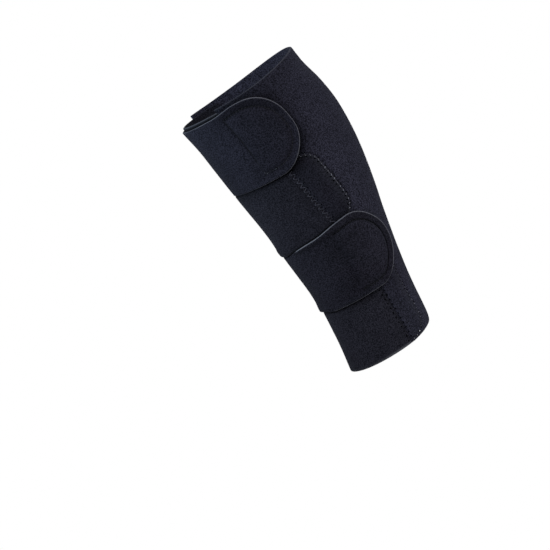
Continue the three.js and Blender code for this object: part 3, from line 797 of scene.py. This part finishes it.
def patch_cloth(patch, material):
    outline, perimeter = patch_outline(patch)
    middle = np.array([outline[:, 0].mean(), outline[:, 1].mean()])
    shares = np.array([1, 0.985, 0.965, 0.94, 0.91, 0.87, 0.82, 0.75, 0.66, 0.55, 0.42, 0.28, 0.14])
    place = middle + (outline - middle)[None] * shares[:, None, None]
    angle, z = place[..., 0], place[..., 1]
    r = radius_at(z) - 3.0
    flat = np.stack([np.radians(angle) * r, z], -1)
    edge = flat[0]
    d = np.sqrt(((flat[:, :, None] - edge[None, None]) ** 2).sum(-1)).min(-1)
    run = np.arange(len(outline)) * perimeter / len(outline)
    pinch = 0.30 * np.exp(-(d / 1.3) ** 2) * (0.5 + 0.5 * np.cos(2 * np.pi * run / OVERCAST_PITCH))[None]
    by_seam = np.radians(angle - seam_at(z)) * r
    outer = PANEL_T + GAP - 0.2 + PATCH_T - round_edge(d, 0.8) - pinch - 0.5 * np.exp(-(by_seam / 2.4) ** 2) + 0.1 * ripple(angle, z, 5.0)
    inner = np.full_like(outer, PANEL_T + 0.12)
    build = Build()
    n = len(outline)
    po, pi = on_hollow(angle, z, np.maximum(outer, inner + 0.15)), on_hollow(angle, z, inner)
    top = patch_top(patch, angle)
    rim = (1 - ease(d, 0.1, 0.55)) * ease(by_seam, 2.0, 4.5) * (1 - 0.85 * ease(z, top - 0.9 * patch["corner_top"], top - 0.35 * patch["corner_top"])) * 0.85
    rear = np.radians(patch["right"] + patch["lean"] * (patch["mid"] - z) - angle) * r
    # painted light along the patch's rear edge, stronger on the lower patch
    rim = np.maximum(rim, (0.03 if patch is PATCHES[0] else 0.11) * (1 - ease(rear, 1.0, 11.0)))
    # painted shadow on the patch below the upper strap and above the lower strap
    up, low = past_strap(UPPER, angle, z), past_strap(LOWER, angle, z)
    shade = np.minimum(0.87 * np.exp(-np.maximum(up, 0) / 8.5) + (0.55 * np.exp(-np.maximum(low, 0) / 3.0) + 0.14 * (1 - ease(low, 6.0, 24.0))) * (z > 100), 0.9)
    o = build.add(po, flat.reshape(-1, 2), rim.reshape(-1), shade.reshape(-1)).reshape(len(shares), n)
    i = build.add(pi, flat.reshape(-1, 2), 0.0).reshape(len(shares), n)
    for k in range(len(shares) - 1):
        build.strip(o[k + 1], o[k])
        build.face(np.roll(i[k], -1), i[k], i[k + 1], np.roll(i[k + 1], -1))
    top = build.add(on_hollow(middle[0], middle[1], outer[-1].mean()), flat[-1].mean(0), 0.0)
    under = build.add(on_hollow(middle[0], middle[1], inner[-1].mean()), flat[-1].mean(0), 0.0)
    build.face(o[-1], np.roll(o[-1], -1), np.full(n, top[0]))
    build.face(np.roll(i[-1], -1), i[-1], np.full(n, under[0]))
    close(build, po[0], pi[0], flat[0], np.arange(n), o[0], i[0], 0.1, 1, 0.6 * rim[0])
    return build.object(f"{patch['name']}_loop_patch_cloth", material)


# ------------------------------------------------------------------------------------------
# Stitches
# ------------------------------------------------------------------------------------------
def surface_offset(angle, z):
    """Offset of the outermost cloth beside the seam, straps apart."""
    angle, z = np.asarray(angle, float), np.asarray(z, float)
    r = radius_at(z)
    d = np.radians(angle - seam_at(z)) * r
    lift = front_fold(angle, z)
    front = PANEL_T + lift * lift_share(angle) - seam_dip(np.abs(d), z) + front_wave(angle, z, lift, np.minimum(FRONT_RIM - z, z - hump(angle, CALF_HEM)))
    calf = calf_face(angle, z)[0]
    patch = PANEL_T + GAP - 0.2 + PATCH_T - 0.5 * np.exp(-(d / 2.4) ** 2) + 0.1 * ripple(angle, z, 5.0)
    over = np.zeros(d.shape, bool)
    for p in PATCHES:
        right = p["right"] + p["lean"] * (p["mid"] - z)
        over |= (z < patch_top(p, angle)) & (z > p["bottom"]) & (angle > seam_at(z) + PATCH_FROM_SEAM) & (angle < right)
    return np.where(d < 0, front, np.where(over, patch, calf))


def stitch(build, start, end, radius, heights=(-0.3, 0.28, -0.3), points=7, top=None):
    """One stitch on the cloth from one needle hole to the next, each an angle and a level."""
    t = np.linspace(0, 1, points)
    angle, z = mix(start[0], end[0], t), mix(start[1], end[1], t)
    base = (surface_offset if top is None else top)(angle, z)
    base = np.maximum(base, mix(base[0], base[-1], t))
    h = np.interp(t, [0, 0.16, 0.5, 0.84, 1], [heights[0], heights[1], heights[len(heights) // 2], heights[-2], heights[-1]])
    p, n, _, _ = axes_at(angle, z, base + h)
    tube(build, p, n, radius)


def needle_hole(build, angle, z, offset, radius, sides=8):
    """A small pit where a thread goes into the cloth, as a closed lens whose near-black colour paints the shade in the
    hole.
    """
    p, n, u, v = (x.reshape(3) for x in axes_at(np.array(angle), np.array(z), np.array(offset)))
    turn = np.arange(sides) * 2 * math.pi / sides
    ring = build.add(p + n * 0.10 + radius * (np.cos(turn)[:, None] * u + np.sin(turn)[:, None] * v), (0, 0), 0.0)
    top, under = build.add(p + n * 0.05, (0, 0), 0.0), build.add(p - n * 0.35, (0, 0), 0.0)
    build.face(ring, np.roll(ring, -1), np.full(sides, top[0]))
    build.face(np.roll(ring, -1), ring, np.full(sides, under[0]))


def seam_stitches(material, low_material, dark):
    """Zigzag over the flat seam where no strap covers it. The thread stands up at its front corners,
    on the smooth panel, and sinks into the loops behind the seam, deeper at some stitches. It is narrow
    and tight below the lower strap, with a large dark needle hole at each end of a stitch, a near-black lens that
    paints the hole's shade."""
    builds, holes = (Build(), Build()), Build()
    # from, to, reach to the front and the back, sizes of the holes there, how far out they lie, and how deep every second stitch sinks
    spans = [(hump(26.0, CALF_HEM) + 1.2, edge_level("low_bottom", np.array(17.0)) - 0.8, (2.1, 1.1), (0.75, 0.75), 1.32, 0.0),
             (float(edge_level("low_top", np.array(2.0))) + 1.0, float(edge_level("up_bottom", np.array(-8.0))) - 0.8, (2.3, 2.9), (0.36, 0.62), 1.12, 0.62)]
    for build, (low, high, (front_width, back_width), (front_pit, back_pit), out, second) in zip(builds, spans):
        n = int(round((high - low) / (STITCH_PITCH / 2)))
        zs = np.linspace(float(low), float(high), n + 1)
        place = lambda z, side: (float(seam_at(z) + np.degrees(side * (front_width if side < 0 else back_width) / radius_at(z))), float(z))
        for k in range(n):
            side, sink = (-1) ** k, 0.26 * uneven(k, 17) + second * (k % 2) * mix(0.6, 1.0, uneven(k, 23))
            heights = (-0.34, -0.28 - sink, -0.16 - sink, 0.32 - 0.5 * sink, 0.06) if side > 0 else (0.06, 0.32 - 0.5 * sink, -0.16 - sink, -0.28 - sink, -0.34)
            stitch(build, place(zs[k], side), place(zs[k + 1], -side), 0.30 + 0.16 * uneven(k, 11), heights=heights, points=9)
        for k in range(n + 1):
            side = (-1) ** k
            angle, z = place(zs[k], side * (out if side < 0 else 1.12))
            size = mix(1.0, 1.5, uneven(k, 12)) * (front_pit if side < 0 else back_pit)
            needle_hole(holes, angle, z, float(surface_offset(np.array([angle]), np.array([z]))[0]), size)
    return builds[0].object("low_seam_stitches", low_material), builds[1].object("seam_stitches", material), holes.object("seam_needle_holes", dark)


def root_stitches(s, material, dark):
    """Zigzag that joins a strap's root to the calf panel's free edge."""
    build, holes = Build(), Build()
    low, high = float(strap_bottom(s, -110.0)) + 1.6, float(strap_top(s, -110.0)) - 1.6
    top = lambda angle, z: PANEL_T + STEP_H - 0.25 + 0 * np.asarray(z)
    n = int(round((high - low) / (STITCH_PITCH / 2)))
    zs = np.linspace(low, high, n + 1)
    place = lambda z, side: (float(STRAP_ROOT + np.degrees(side * 2.4 / radius_at(z))), float(z))
    for k in range(n):
        side = (-1) ** k
        stitch(build, place(zs[k], side), place(zs[k + 1], -side), 0.36, heights=(-0.2, 0.3, -0.2), points=9, top=top)
    for k in range(n + 1):
        angle, z = place(zs[k], 1.12 * (-1) ** k)
        needle_hole(holes, angle, z, PANEL_T + STEP_H - 0.25, 0.5)
    return build.object(f"{s['name']}_root_stitches", material), holes.object(f"{s['name']}_root_needle_holes", dark)


def uneven(k, seed):
    """A fixed uneven share, 0 to 1, for the k-th stitch of a row."""
    x = math.sin(k * 12.9898 + seed * 78.233) * 43758.5453
    return x - math.floor(x)


def overcast_stitches(patch, pale, dull, dark, radius, seed, pit=1.0, tight_above=999.0):
    """Short slanting stitches over the patch's rear, upper and lower edges, some pulled tighter than
    others, with a needle hole at each end."""
    outline, perimeter = patch_outline(patch)
    run = np.arange(len(outline)) * perimeter / len(outline)
    r = radius_at(outline[:, 1]) - 3.0
    flat = np.stack([np.radians(outline[:, 0]) * r, outline[:, 1]], -1)
    tangent = unit(np.roll(flat, -1, 0) - np.roll(flat, 1, 0))
    build, tight, holes = Build(), Build(), Build()

    def place(at, out):
        x = np.interp(at, run, flat[:, 0]), np.interp(at, run, flat[:, 1])
        t = np.array([np.interp(at, run, tangent[:, 0]), np.interp(at, run, tangent[:, 1])])
        s, z = x[0] + t[1] * out, x[1] - t[0] * out
        return float(np.degrees(s / (radius_at(z) - 3.0))), float(z)

    def top(angle, z):
        # on the patch inside its edge, down on the panel outside it
        f = np.stack([np.radians(angle) * (radius_at(z) - 3.0), z], -1)
        k = np.sqrt(((f[:, None] - flat[None]) ** 2).sum(-1)).argmin(-1)
        out = (f - flat[k])[:, 0] * tangent[k, 1] - (f - flat[k])[:, 1] * tangent[k, 0]
        return mix(PANEL_T + GAP - 0.2 + PATCH_T + 0.1 * ripple(angle, z, 5.0), calf_face(angle, z)[0], ease(out, -0.5, 0.3))

    hidden = lambda a, z: min(float(past_strap(UPPER, a, z)), float(past_strap(LOWER, a, z))) < 0.9
    for k in range(int(perimeter / OVERCAST_PITCH)):
        at = (k + 0.5) * OVERCAST_PITCH
        a, b = place(at - 0.5, -1.15), place(at + 0.5, 1.05)
        middle = (a[0] + b[0]) / 2, (a[1] + b[1]) / 2
        if hidden(*middle) or middle[0] < seam_at(middle[1]) + PATCH_FROM_SEAM + 2.5 or middle[1] < hump(middle[0], CALF_HEM) + 0.6:
            continue
        loose = uneven(k, seed)
        along_top = middle[1] > min(patch_top(patch, middle[0]) - max(5.0, 0.7 * patch["corner_top"]), tight_above)
        if (loose > 0.5 or at < OVERCAST_PITCH * 7) and not along_top:
            stitch(build, a, b, radius * mix(0.85, 1.25, uneven(k, seed + 1)), heights=(-0.15, 0.36, -0.15), top=top)
        else:
            stitch(tight, a, b, radius * mix(0.7, 1.0, uneven(k, seed + 1)), heights=(-0.25, 0.16, -0.25), top=top)
        for where, out, size in ((at - 0.8, -1.8, mix(0.6, 0.95, uneven(k, seed + 2))), (at + 0.8, 1.9, mix(0.8, 1.15, uneven(k, seed + 3)))):
            angle, z = place(where, out)
            needle_hole(holes, angle, z, float(top(np.array([angle]), np.array([z]))[0]), size * pit)
    name = f"{patch['name']}_overcast"
    return build.object(f"{name}_stitches", pale), tight.object(f"{name}_tight_stitches", dull), holes.object(f"{name}_needle_holes", dark)


def end_knot(patch, place, material, dark, radius):
    """The knot that ends the overcast thread, a small ball on the patch."""
    build, holes = Build(), Build()
    p, n, u, v = (x.reshape(3) for x in axes_at(np.array(place[0]), np.array(place[1]), np.array(PANEL_T + GAP + PATCH_T)))
    for round_way, up_way in ((-1.9, 0.9), (1.5, -0.9)):
        angle, z = place[0] + float(np.degrees(round_way / radius_at(place[1]))), place[1] + up_way
        needle_hole(holes, angle, z, float(surface_offset(np.array([angle]), np.array([z]))[0]), 0.85)
    t = np.linspace(-0.95, 0.95, 9)[:, None]
    for k in range(3):
        turn = math.pi * k / 3
        way = math.cos(turn) * u + math.sin(turn) * v
        tube(build, p + radius * 0.9 * t * way + n * radius * 0.7 * (1 - t**2), n, radius * 0.5)
    return build.object(f"{patch['name']}_overcast_knot", material), holes.object(f"{patch['name']}_knot_needle_holes", dark)


def pad_stitches(s, dark, light):
    """Running stitch in the groove round a strap's pad, with a paler copy of the same thread, painted light, on some
    stitches of the lower run.
    """
    angle, z, offset = pad_outline(s)
    angle, z, offset = (np.append(x, x[0]) for x in (angle, z, offset))
    p = on_hollow(angle, z, offset)
    run = np.concatenate([[0], np.cumsum(np.linalg.norm(np.diff(p, axis=0), axis=1))])
    plain, pale = Build(), Build()
    n = int(run[-1] / 3.1)
    low = strap_bottom(s, s["centre"]) + s["sewn"][2]
    for k in range(n):
        at = (k + np.linspace(0, 0.76, 7)) * run[-1] / n
        a, l, o = (np.interp(at, run, x) for x in (angle, z, offset))
        shows = l[3] < low + s["pale_height"] and a[3] < float(to_angle(s["centre"] + s["pale_reach"], l[3])) and uneven(k, 21) > 0.45
        straight = abs(float(to_length(a[3], l[3])) - s["pad_from"]) < 2.5 and not shows
        if straight and s["front_line"] < 0.3:
            continue
        lift = 0.24 if shows else (-0.12 if straight else 0.08)
        points, normal, _, _ = axes_at(a, l, o + lift * np.array([-1.2, 0.6, 1, 1.1, 1, 0.6, -1.2]))
        tube(pale if shows else plain, points, normal, 0.30 if shows else 0.24)
    made = ((plain, "pad_stitches", dark), (pale, "pad_stitches_low", light))
    return [b.object(f"{s['name']}_{name}", material) for b, name, material in made if b.count]


# ------------------------------------------------------------------------------------------
# Materials
# ------------------------------------------------------------------------------------------
def nodes_of(name):
    m = bpy.data.materials.new(name)
    m.use_nodes = True
    t = m.node_tree
    return m, t, t.nodes["Principled BSDF"]


def link(t, a, out, b, into):
    t.links.new(a.outputs[out], b.inputs[into])


def knit(name, dark, light, edge, speckle=900.0, contrast=0.5, sheen=0.25, sheen_tint=(0.6, 0.65, 0.8), rough=0.9, course=1.1, bump=0.35):
    """Knit-faced foam: fine courses, flecks of lighter yarn, slow shade changes and paler cut edges, with the painted
    light and painted shade that each point's shares carry.
    """
    m, t, shader = nodes_of(name)
    add = t.nodes.new
    coord, rim = add("ShaderNodeTexCoord"), add("ShaderNodeAttribute")
    rim.attribute_name = "rim"
    fleck = add("ShaderNodeTexNoise")
    fleck.inputs["Scale"].default_value, fleck.inputs["Detail"].default_value, fleck.inputs["Roughness"].default_value = speckle, 3.0, 0.7
    link(t, coord, "Object", fleck, "Vector")
    ramp = add("ShaderNodeValToRGB")
    ramp.color_ramp.elements[0].position, ramp.color_ramp.elements[1].position = 0.5 - contrast / 2, 0.5 + contrast / 2
    ramp.color_ramp.elements[0].color, ramp.color_ramp.elements[1].color = (*dark, 1), (*light, 1)
    link(t, fleck, "Fac", ramp, "Fac")
    slow = add("ShaderNodeTexNoise")
    slow.inputs["Scale"].default_value, slow.inputs["Detail"].default_value = 22.0, 3.0
    link(t, coord, "Object", slow, "Vector")
    shade = add("ShaderNodeMapRange")
    for k, v in (("From Min", 0.3), ("From Max", 0.7), ("To Min", 0.86), ("To Max", 1.14)):
        shade.inputs[k].default_value = v
    link(t, slow, "Fac", shade, "Value")
    body = add("ShaderNodeMix")
    body.data_type, body.blend_type = "RGBA", "MULTIPLY"
    body.inputs["Factor"].default_value = 1.0
    t.links.new(ramp.outputs["Color"], body.inputs[6])
    t.links.new(shade.outputs["Result"], body.inputs[7])
    pores = add("ShaderNodeTexNoise")
    pores.inputs["Scale"].default_value, pores.inputs["Detail"].default_value = 1400.0, 2.0
    link(t, coord, "Object", pores, "Vector")
    foam = add("ShaderNodeValToRGB")
    foam.color_ramp.elements[0].position, foam.color_ramp.elements[1].position = 0.3, 0.7
    foam.color_ramp.elements[0].color, foam.color_ramp.elements[1].color = (*[c * 0.6 for c in edge], 1), (*[c * 1.3 for c in edge], 1)
    link(t, pores, "Fac", foam, "Fac")
    both = add("ShaderNodeMix")
    both.data_type = "RGBA"
    t.links.new(rim.outputs["Fac"], both.inputs[0])
    t.links.new(body.outputs[2], both.inputs[6])
    t.links.new(foam.outputs["Color"], both.inputs[7])
    dim, shaded, crease = add("ShaderNodeMapRange"), add("ShaderNodeMix"), add("ShaderNodeAttribute")
    crease.attribute_name = "shade"
    dim.inputs["To Min"].default_value, dim.inputs["To Max"].default_value = 1.0, 0.0
    link(t, crease, "Fac", dim, "Value")
    shaded.data_type, shaded.blend_type = "RGBA", "MULTIPLY"
    shaded.inputs["Factor"].default_value = 1.0
    t.links.new(both.outputs[2], shaded.inputs[6])
    t.links.new(dim.outputs["Result"], shaded.inputs[7])
    t.links.new(shaded.outputs[2], shader.inputs["Base Color"])
    # courses and wales of the knit, from the sheet's own flat coordinate
    uv = add("ShaderNodeUVMap")
    uv.uv_map = "flat"
    wale, row = add("ShaderNodeTexWave"), add("ShaderNodeTexWave")
    for w, axis, pitch in ((wale, "X", course), (row, "Y", course * 0.8)):
        w.wave_type, w.bands_direction, w.wave_profile = "BANDS", axis, "SIN"
        w.inputs["Scale"].default_value = 1000.0 / pitch / 20.0 * 2 * math.pi / 2
        w.inputs["Distortion"].default_value, w.inputs["Detail"].default_value = 1.2, 1.0
        link(t, uv, "UV", w, "Vector")
    weave = add("ShaderNodeMath")
    weave.operation = "MULTIPLY"
    link(t, wale, "Fac", weave, 0)
    link(t, row, "Fac", weave, 1)
    height = add("ShaderNodeMath")
    height.operation = "MULTIPLY_ADD"
    height.inputs[1].default_value = 0.7
    link(t, weave, "Value", height, 0)
    link(t, fleck, "Fac", height, 2)
    relief = add("ShaderNodeBump")
    relief.inputs["Strength"].default_value, relief.inputs["Distance"].default_value = bump, 0.0004
    link(t, height, "Value", relief, "Height")
    link(t, relief, "Normal", shader, "Normal")
    shader.inputs["Roughness"].default_value = rough
    shader.inputs["Specular IOR Level"].default_value = 0.02
    shader.inputs["Sheen Weight"].default_value = sheen
    shader.inputs["Sheen Roughness"].default_value = 0.45
    shader.inputs["Sheen Tint"].default_value = (*sheen_tint, 1)
    return m


def thread(name, dark, light, shine=0.12, sheen=0.02):
    m, t, shader = nodes_of(name)
    add = t.nodes.new
    coord = add("ShaderNodeTexCoord")
    ply = add("ShaderNodeTexNoise")
    ply.inputs["Scale"].default_value, ply.inputs["Detail"].default_value = 1500.0, 2.0
    link(t, coord, "Object", ply, "Vector")
    ramp = add("ShaderNodeValToRGB")
    ramp.color_ramp.elements[0].position, ramp.color_ramp.elements[1].position = 0.3, 0.7
    ramp.color_ramp.elements[0].color, ramp.color_ramp.elements[1].color = (*dark, 1), (*light, 1)
    link(t, ply, "Fac", ramp, "Fac")
    link(t, ramp, "Color", shader, "Base Color")
    relief = add("ShaderNodeBump")
    relief.inputs["Strength"].default_value, relief.inputs["Distance"].default_value = 0.4, 0.0002
    link(t, ply, "Fac", relief, "Height")
    link(t, relief, "Normal", shader, "Normal")
    shader.inputs["Roughness"].default_value = 0.6
    shader.inputs["Specular IOR Level"].default_value = shine
    shader.inputs["Sheen Weight"].default_value = sheen
    return m


CALF_KNIT = knit("calf_loop_knit", (0.0026, 0.0025, 0.0043), (0.0186, 0.0185, 0.0291), (0.026, 0.027, 0.035), speckle=850.0, contrast=0.19, sheen=0.03, course=1.5, bump=0.6)
FRONT_KNIT = knit("front_smooth_knit", (0.0022, 0.0022, 0.0036), (0.0108, 0.0106, 0.0152), (0.075, 0.077, 0.090), contrast=0.15, sheen=0.02)
STRAP_KNIT = knit("strap_smooth_knit", (0.0022, 0.0022, 0.0037), (0.0099, 0.0097, 0.0150), (0.085, 0.087, 0.102), contrast=0.14, sheen=0.02)
# a lighter copy of the strap knit, as painted light; the strap's painted shade darkens it again away from the pad's far
# side
LIT_LOW_STRAP_KNIT = knit("lower_strap_knit_painted_light", (0.0029, 0.0029, 0.0047), (0.0142, 0.0139, 0.0210), (0.092, 0.094, 0.110), contrast=0.14, sheen=0.02)
PATCH_KNIT = knit("patch_knit", (0.0022, 0.0022, 0.0036), (0.0088, 0.0088, 0.0134), (0.085, 0.087, 0.100), contrast=0.14, sheen=0.02)
# a lighter copy of the patch knit, as painted light on the lower patch
LIT_LOW_PATCH_KNIT = knit("lower_patch_knit_painted_light", (0.0028, 0.0028, 0.0045), (0.0130, 0.0132, 0.0205), (0.034, 0.035, 0.043), contrast=0.15, sheen=0.02)
HOOK_TAPE = knit("hook_tape", (0.002, 0.002, 0.0025), (0.008, 0.008, 0.010), (0.01, 0.01, 0.012), course=1.6, bump=0.9, sheen=0.02, rough=0.8)
SEAM_THREAD = thread("seam_thread", (0.0078, 0.0080, 0.0114), (0.0245, 0.0249, 0.0352), shine=0.05)
LOW_SEAM_THREAD = thread("lower_seam_thread", (0.0026, 0.0027, 0.0041), (0.0074, 0.0076, 0.0112), shine=0.04)
PAD_THREAD = thread("pad_thread", (0.0015, 0.0016, 0.0024), (0.004, 0.0042, 0.006))
# a paler copy of the pad thread, painted light where the stitches catch it
LIT_PAD_THREAD = thread("pad_thread_painted_light", (0.010, 0.0105, 0.014), (0.028, 0.029, 0.036))
EDGE_THREAD = thread("overcast_thread", (0.04, 0.041, 0.052), (0.085, 0.087, 0.105))
LOW_EDGE_THREAD = thread("lower_overcast_thread", (0.020, 0.0205, 0.026), (0.050, 0.052, 0.063))
KNOT_THREAD = thread("knot_thread", (0.16, 0.165, 0.18), (0.30, 0.305, 0.32))
# near black, the painted shade of the needle holes
PAINTED_HOLE_SHADE = thread("needle_hole", (0.0006, 0.0006, 0.0009), (0.0014, 0.0014, 0.0020), shine=0.0, sheen=0.0)

# ------------------------------------------------------------------------------------------
# Pieces
# ------------------------------------------------------------------------------------------
calf = calf_panel(CALF_KNIT)
front = front_panel(FRONT_KNIT)
pieces = {"calf_panel": (calf, "loop_face_foam"), "front_panel": (front, "smooth_face_foam")}
for s in STRAPS:
    pieces[f"{s['name']}_strap"] = (strap_cloth(s, STRAP_KNIT if s is UPPER else LIT_LOW_STRAP_KNIT), "strap_foam")
    pieces[f"{s['name']}_hook_pad"] = (hook_pad(s, HOOK_TAPE), "hook_tape")
for p in PATCHES:
    pieces[f"{p['name']}_loop_patch"] = (patch_cloth(p, PATCH_KNIT if p is PATCHES[0] else LIT_LOW_PATCH_KNIT), "patch_knit")
for node, (obj, slot) in pieces.items():
    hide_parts(node)
    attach(obj, "root")
trim = [(o, "smooth_face_foam") for o in seam_stitches(SEAM_THREAD, LOW_SEAM_THREAD, PAINTED_HOLE_SHADE)]
trim += [(o, "patch_knit") for o in overcast_stitches(PATCHES[0], EDGE_THREAD, LOW_EDGE_THREAD, PAINTED_HOLE_SHADE, 0.36, 1, pit=1.12)]
trim += [(o, "patch_knit") for o in overcast_stitches(PATCHES[1], EDGE_THREAD, LOW_EDGE_THREAD, PAINTED_HOLE_SHADE, 0.34, 7, pit=0.68, tight_above=44.0)]
trim += [(o, "patch_knit") for o in end_knot(PATCHES[1], (41.2, 5.3), KNOT_THREAD, PAINTED_HOLE_SHADE, 0.72)]
trim += [(o, "strap_foam") for s in STRAPS for o in root_stitches(s, SEAM_THREAD, PAINTED_HOLE_SHADE)]
trim += [(o, "strap_foam") for s in STRAPS for o in pad_stitches(s, PAD_THREAD, LIT_PAD_THREAD)]
for obj, slot in trim:
    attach(obj, "root")

# ------------------------------------------------------------------------------------------
# Camera, floor and light
# ------------------------------------------------------------------------------------------
MID = np.array([0.0, 0.0, 145.8])         # middle of the wrap
DISTANCE, RISE, LEAN = 2000.0, math.radians(8.5), math.atan2(0.522, 0.853)
FOCAL_PX, SIZE_PX, AIM_PX = 2000.0 / 0.96, 550.0, (314.8, 218.95)
eye = MID + DISTANCE * np.array([0.0, -math.cos(RISE), math.sin(RISE)])


def picture_axes(forward):
    right = unit(np.cross(forward, (0.0, 0.0, 1.0)))
    down = np.cross(forward, right)
    return math.cos(LEAN) * right + math.sin(LEAN) * down, -math.sin(LEAN) * right + math.cos(LEAN) * down


forward = unit(MID - eye)
for _ in range(40):
    right, down = picture_axes(forward)
    q = MID - eye
    u, v = (SIZE_PX / 2 + FOCAL_PX * (q @ axis) / (q @ forward) for axis in (right, down))
    forward = unit(forward + ((u - AIM_PX[0]) * right + (v - AIM_PX[1]) * down) / FOCAL_PX)
right, down = picture_axes(forward)
camera = bpy.data.cameras.new("camera")
camera.sensor_fit, camera.sensor_width, camera.lens = "HORIZONTAL", 36.0, 36.0 * FOCAL_PX / SIZE_PX
camera.clip_start, camera.clip_end = 0.05, 60.0
camera_object = bpy.data.objects.new("camera", camera)
bpy.context.scene.collection.objects.link(camera_object)
turn = Matrix((right, -down, -forward)).transposed().to_4x4()
camera_object.matrix_world = Matrix.Translation(Vector(eye * MM)) @ turn
bpy.context.scene.camera = camera_object

bpy.ops.mesh.primitive_circle_add(vertices=128, radius=1.3, fill_type="NGON", location=(0, 0, -0.75))
floor = bpy.context.object
floor.name = "floor"
paint, tree, shader = nodes_of("pale_floor")
grain = tree.nodes.new("ShaderNodeTexNoise")
grain.inputs["Scale"].default_value = 3.0
tone = tree.nodes.new("ShaderNodeMapRange")
tone.inputs["To Min"].default_value, tone.inputs["To Max"].default_value = 0.90, 0.94
tree.links.new(grain.outputs["Fac"], tone.inputs["Value"])
tree.links.new(tone.outputs["Result"], shader.inputs["Base Color"])
shader.inputs["Roughness"].default_value = 0.9
floor.data.materials.append(paint)

# a white studio backdrop, lit apart from the wrap, which gets only a soft part of it
world = bpy.data.worlds.new("studio")
bpy.context.scene.world = world
world.use_nodes = True
room = world.node_tree
soft = room.nodes["Background"]
soft.inputs["Color"].default_value, soft.inputs["Strength"].default_value = (0.95, 0.97, 1.0, 1), 0.24
backdrop = room.nodes.new("ShaderNodeBackground")
backdrop.inputs["Color"].default_value, backdrop.inputs["Strength"].default_value = (1, 1, 1, 1), 1.0
seen, choose = room.nodes.new("ShaderNodeLightPath"), room.nodes.new("ShaderNodeMixShader")
room.links.new(seen.outputs["Is Camera Ray"], choose.inputs[0])
room.links.new(soft.outputs[0], choose.inputs[1])
room.links.new(backdrop.outputs[0], choose.inputs[2])
room.links.new(choose.outputs[0], room.nodes["World Output"].inputs["Surface"])


def lamp(name, kind, towards, strength, spread, colour=(1, 1, 1), place=None):
    """A soft light that shines from the direction towards, or from a place if one is given."""
    data = bpy.data.lights.new(name, kind)
    data.energy, data.color = strength, colour
    if kind == "SUN":
        data.angle = math.radians(spread)
    else:
        data.shape, data.size = "DISK", spread
    o = bpy.data.objects.new(name, data)
    bpy.context.scene.collection.objects.link(o)
    o.location = place or (0, 0, 1)
    o.rotation_euler = (-Vector(towards)).to_track_quat("-Z", "Y").to_euler()


lamp("key", "SUN", (-0.28, -0.74, 0.61), 4.2, 56)
lamp("rear_right", "SUN", (0.90, -0.30, 0.05), 3.1, 40)
lamp("left_fill", "SUN", (-0.85, -0.45, 0.30), 0.7, 40)
lamp("inner_fill", "SUN", (0.04, 0.99, -0.10), 2.0, 20)
lamp("left_glow", "AREA", (-0.84, -0.50, 0.20), 0.95, 0.14, (0.55, 0.85, 1.0), (-0.26, -0.16, 0.33))
bpy.context.scene.view_settings.view_transform = "Standard"
bpy.context.scene.view_settings.look = "None"
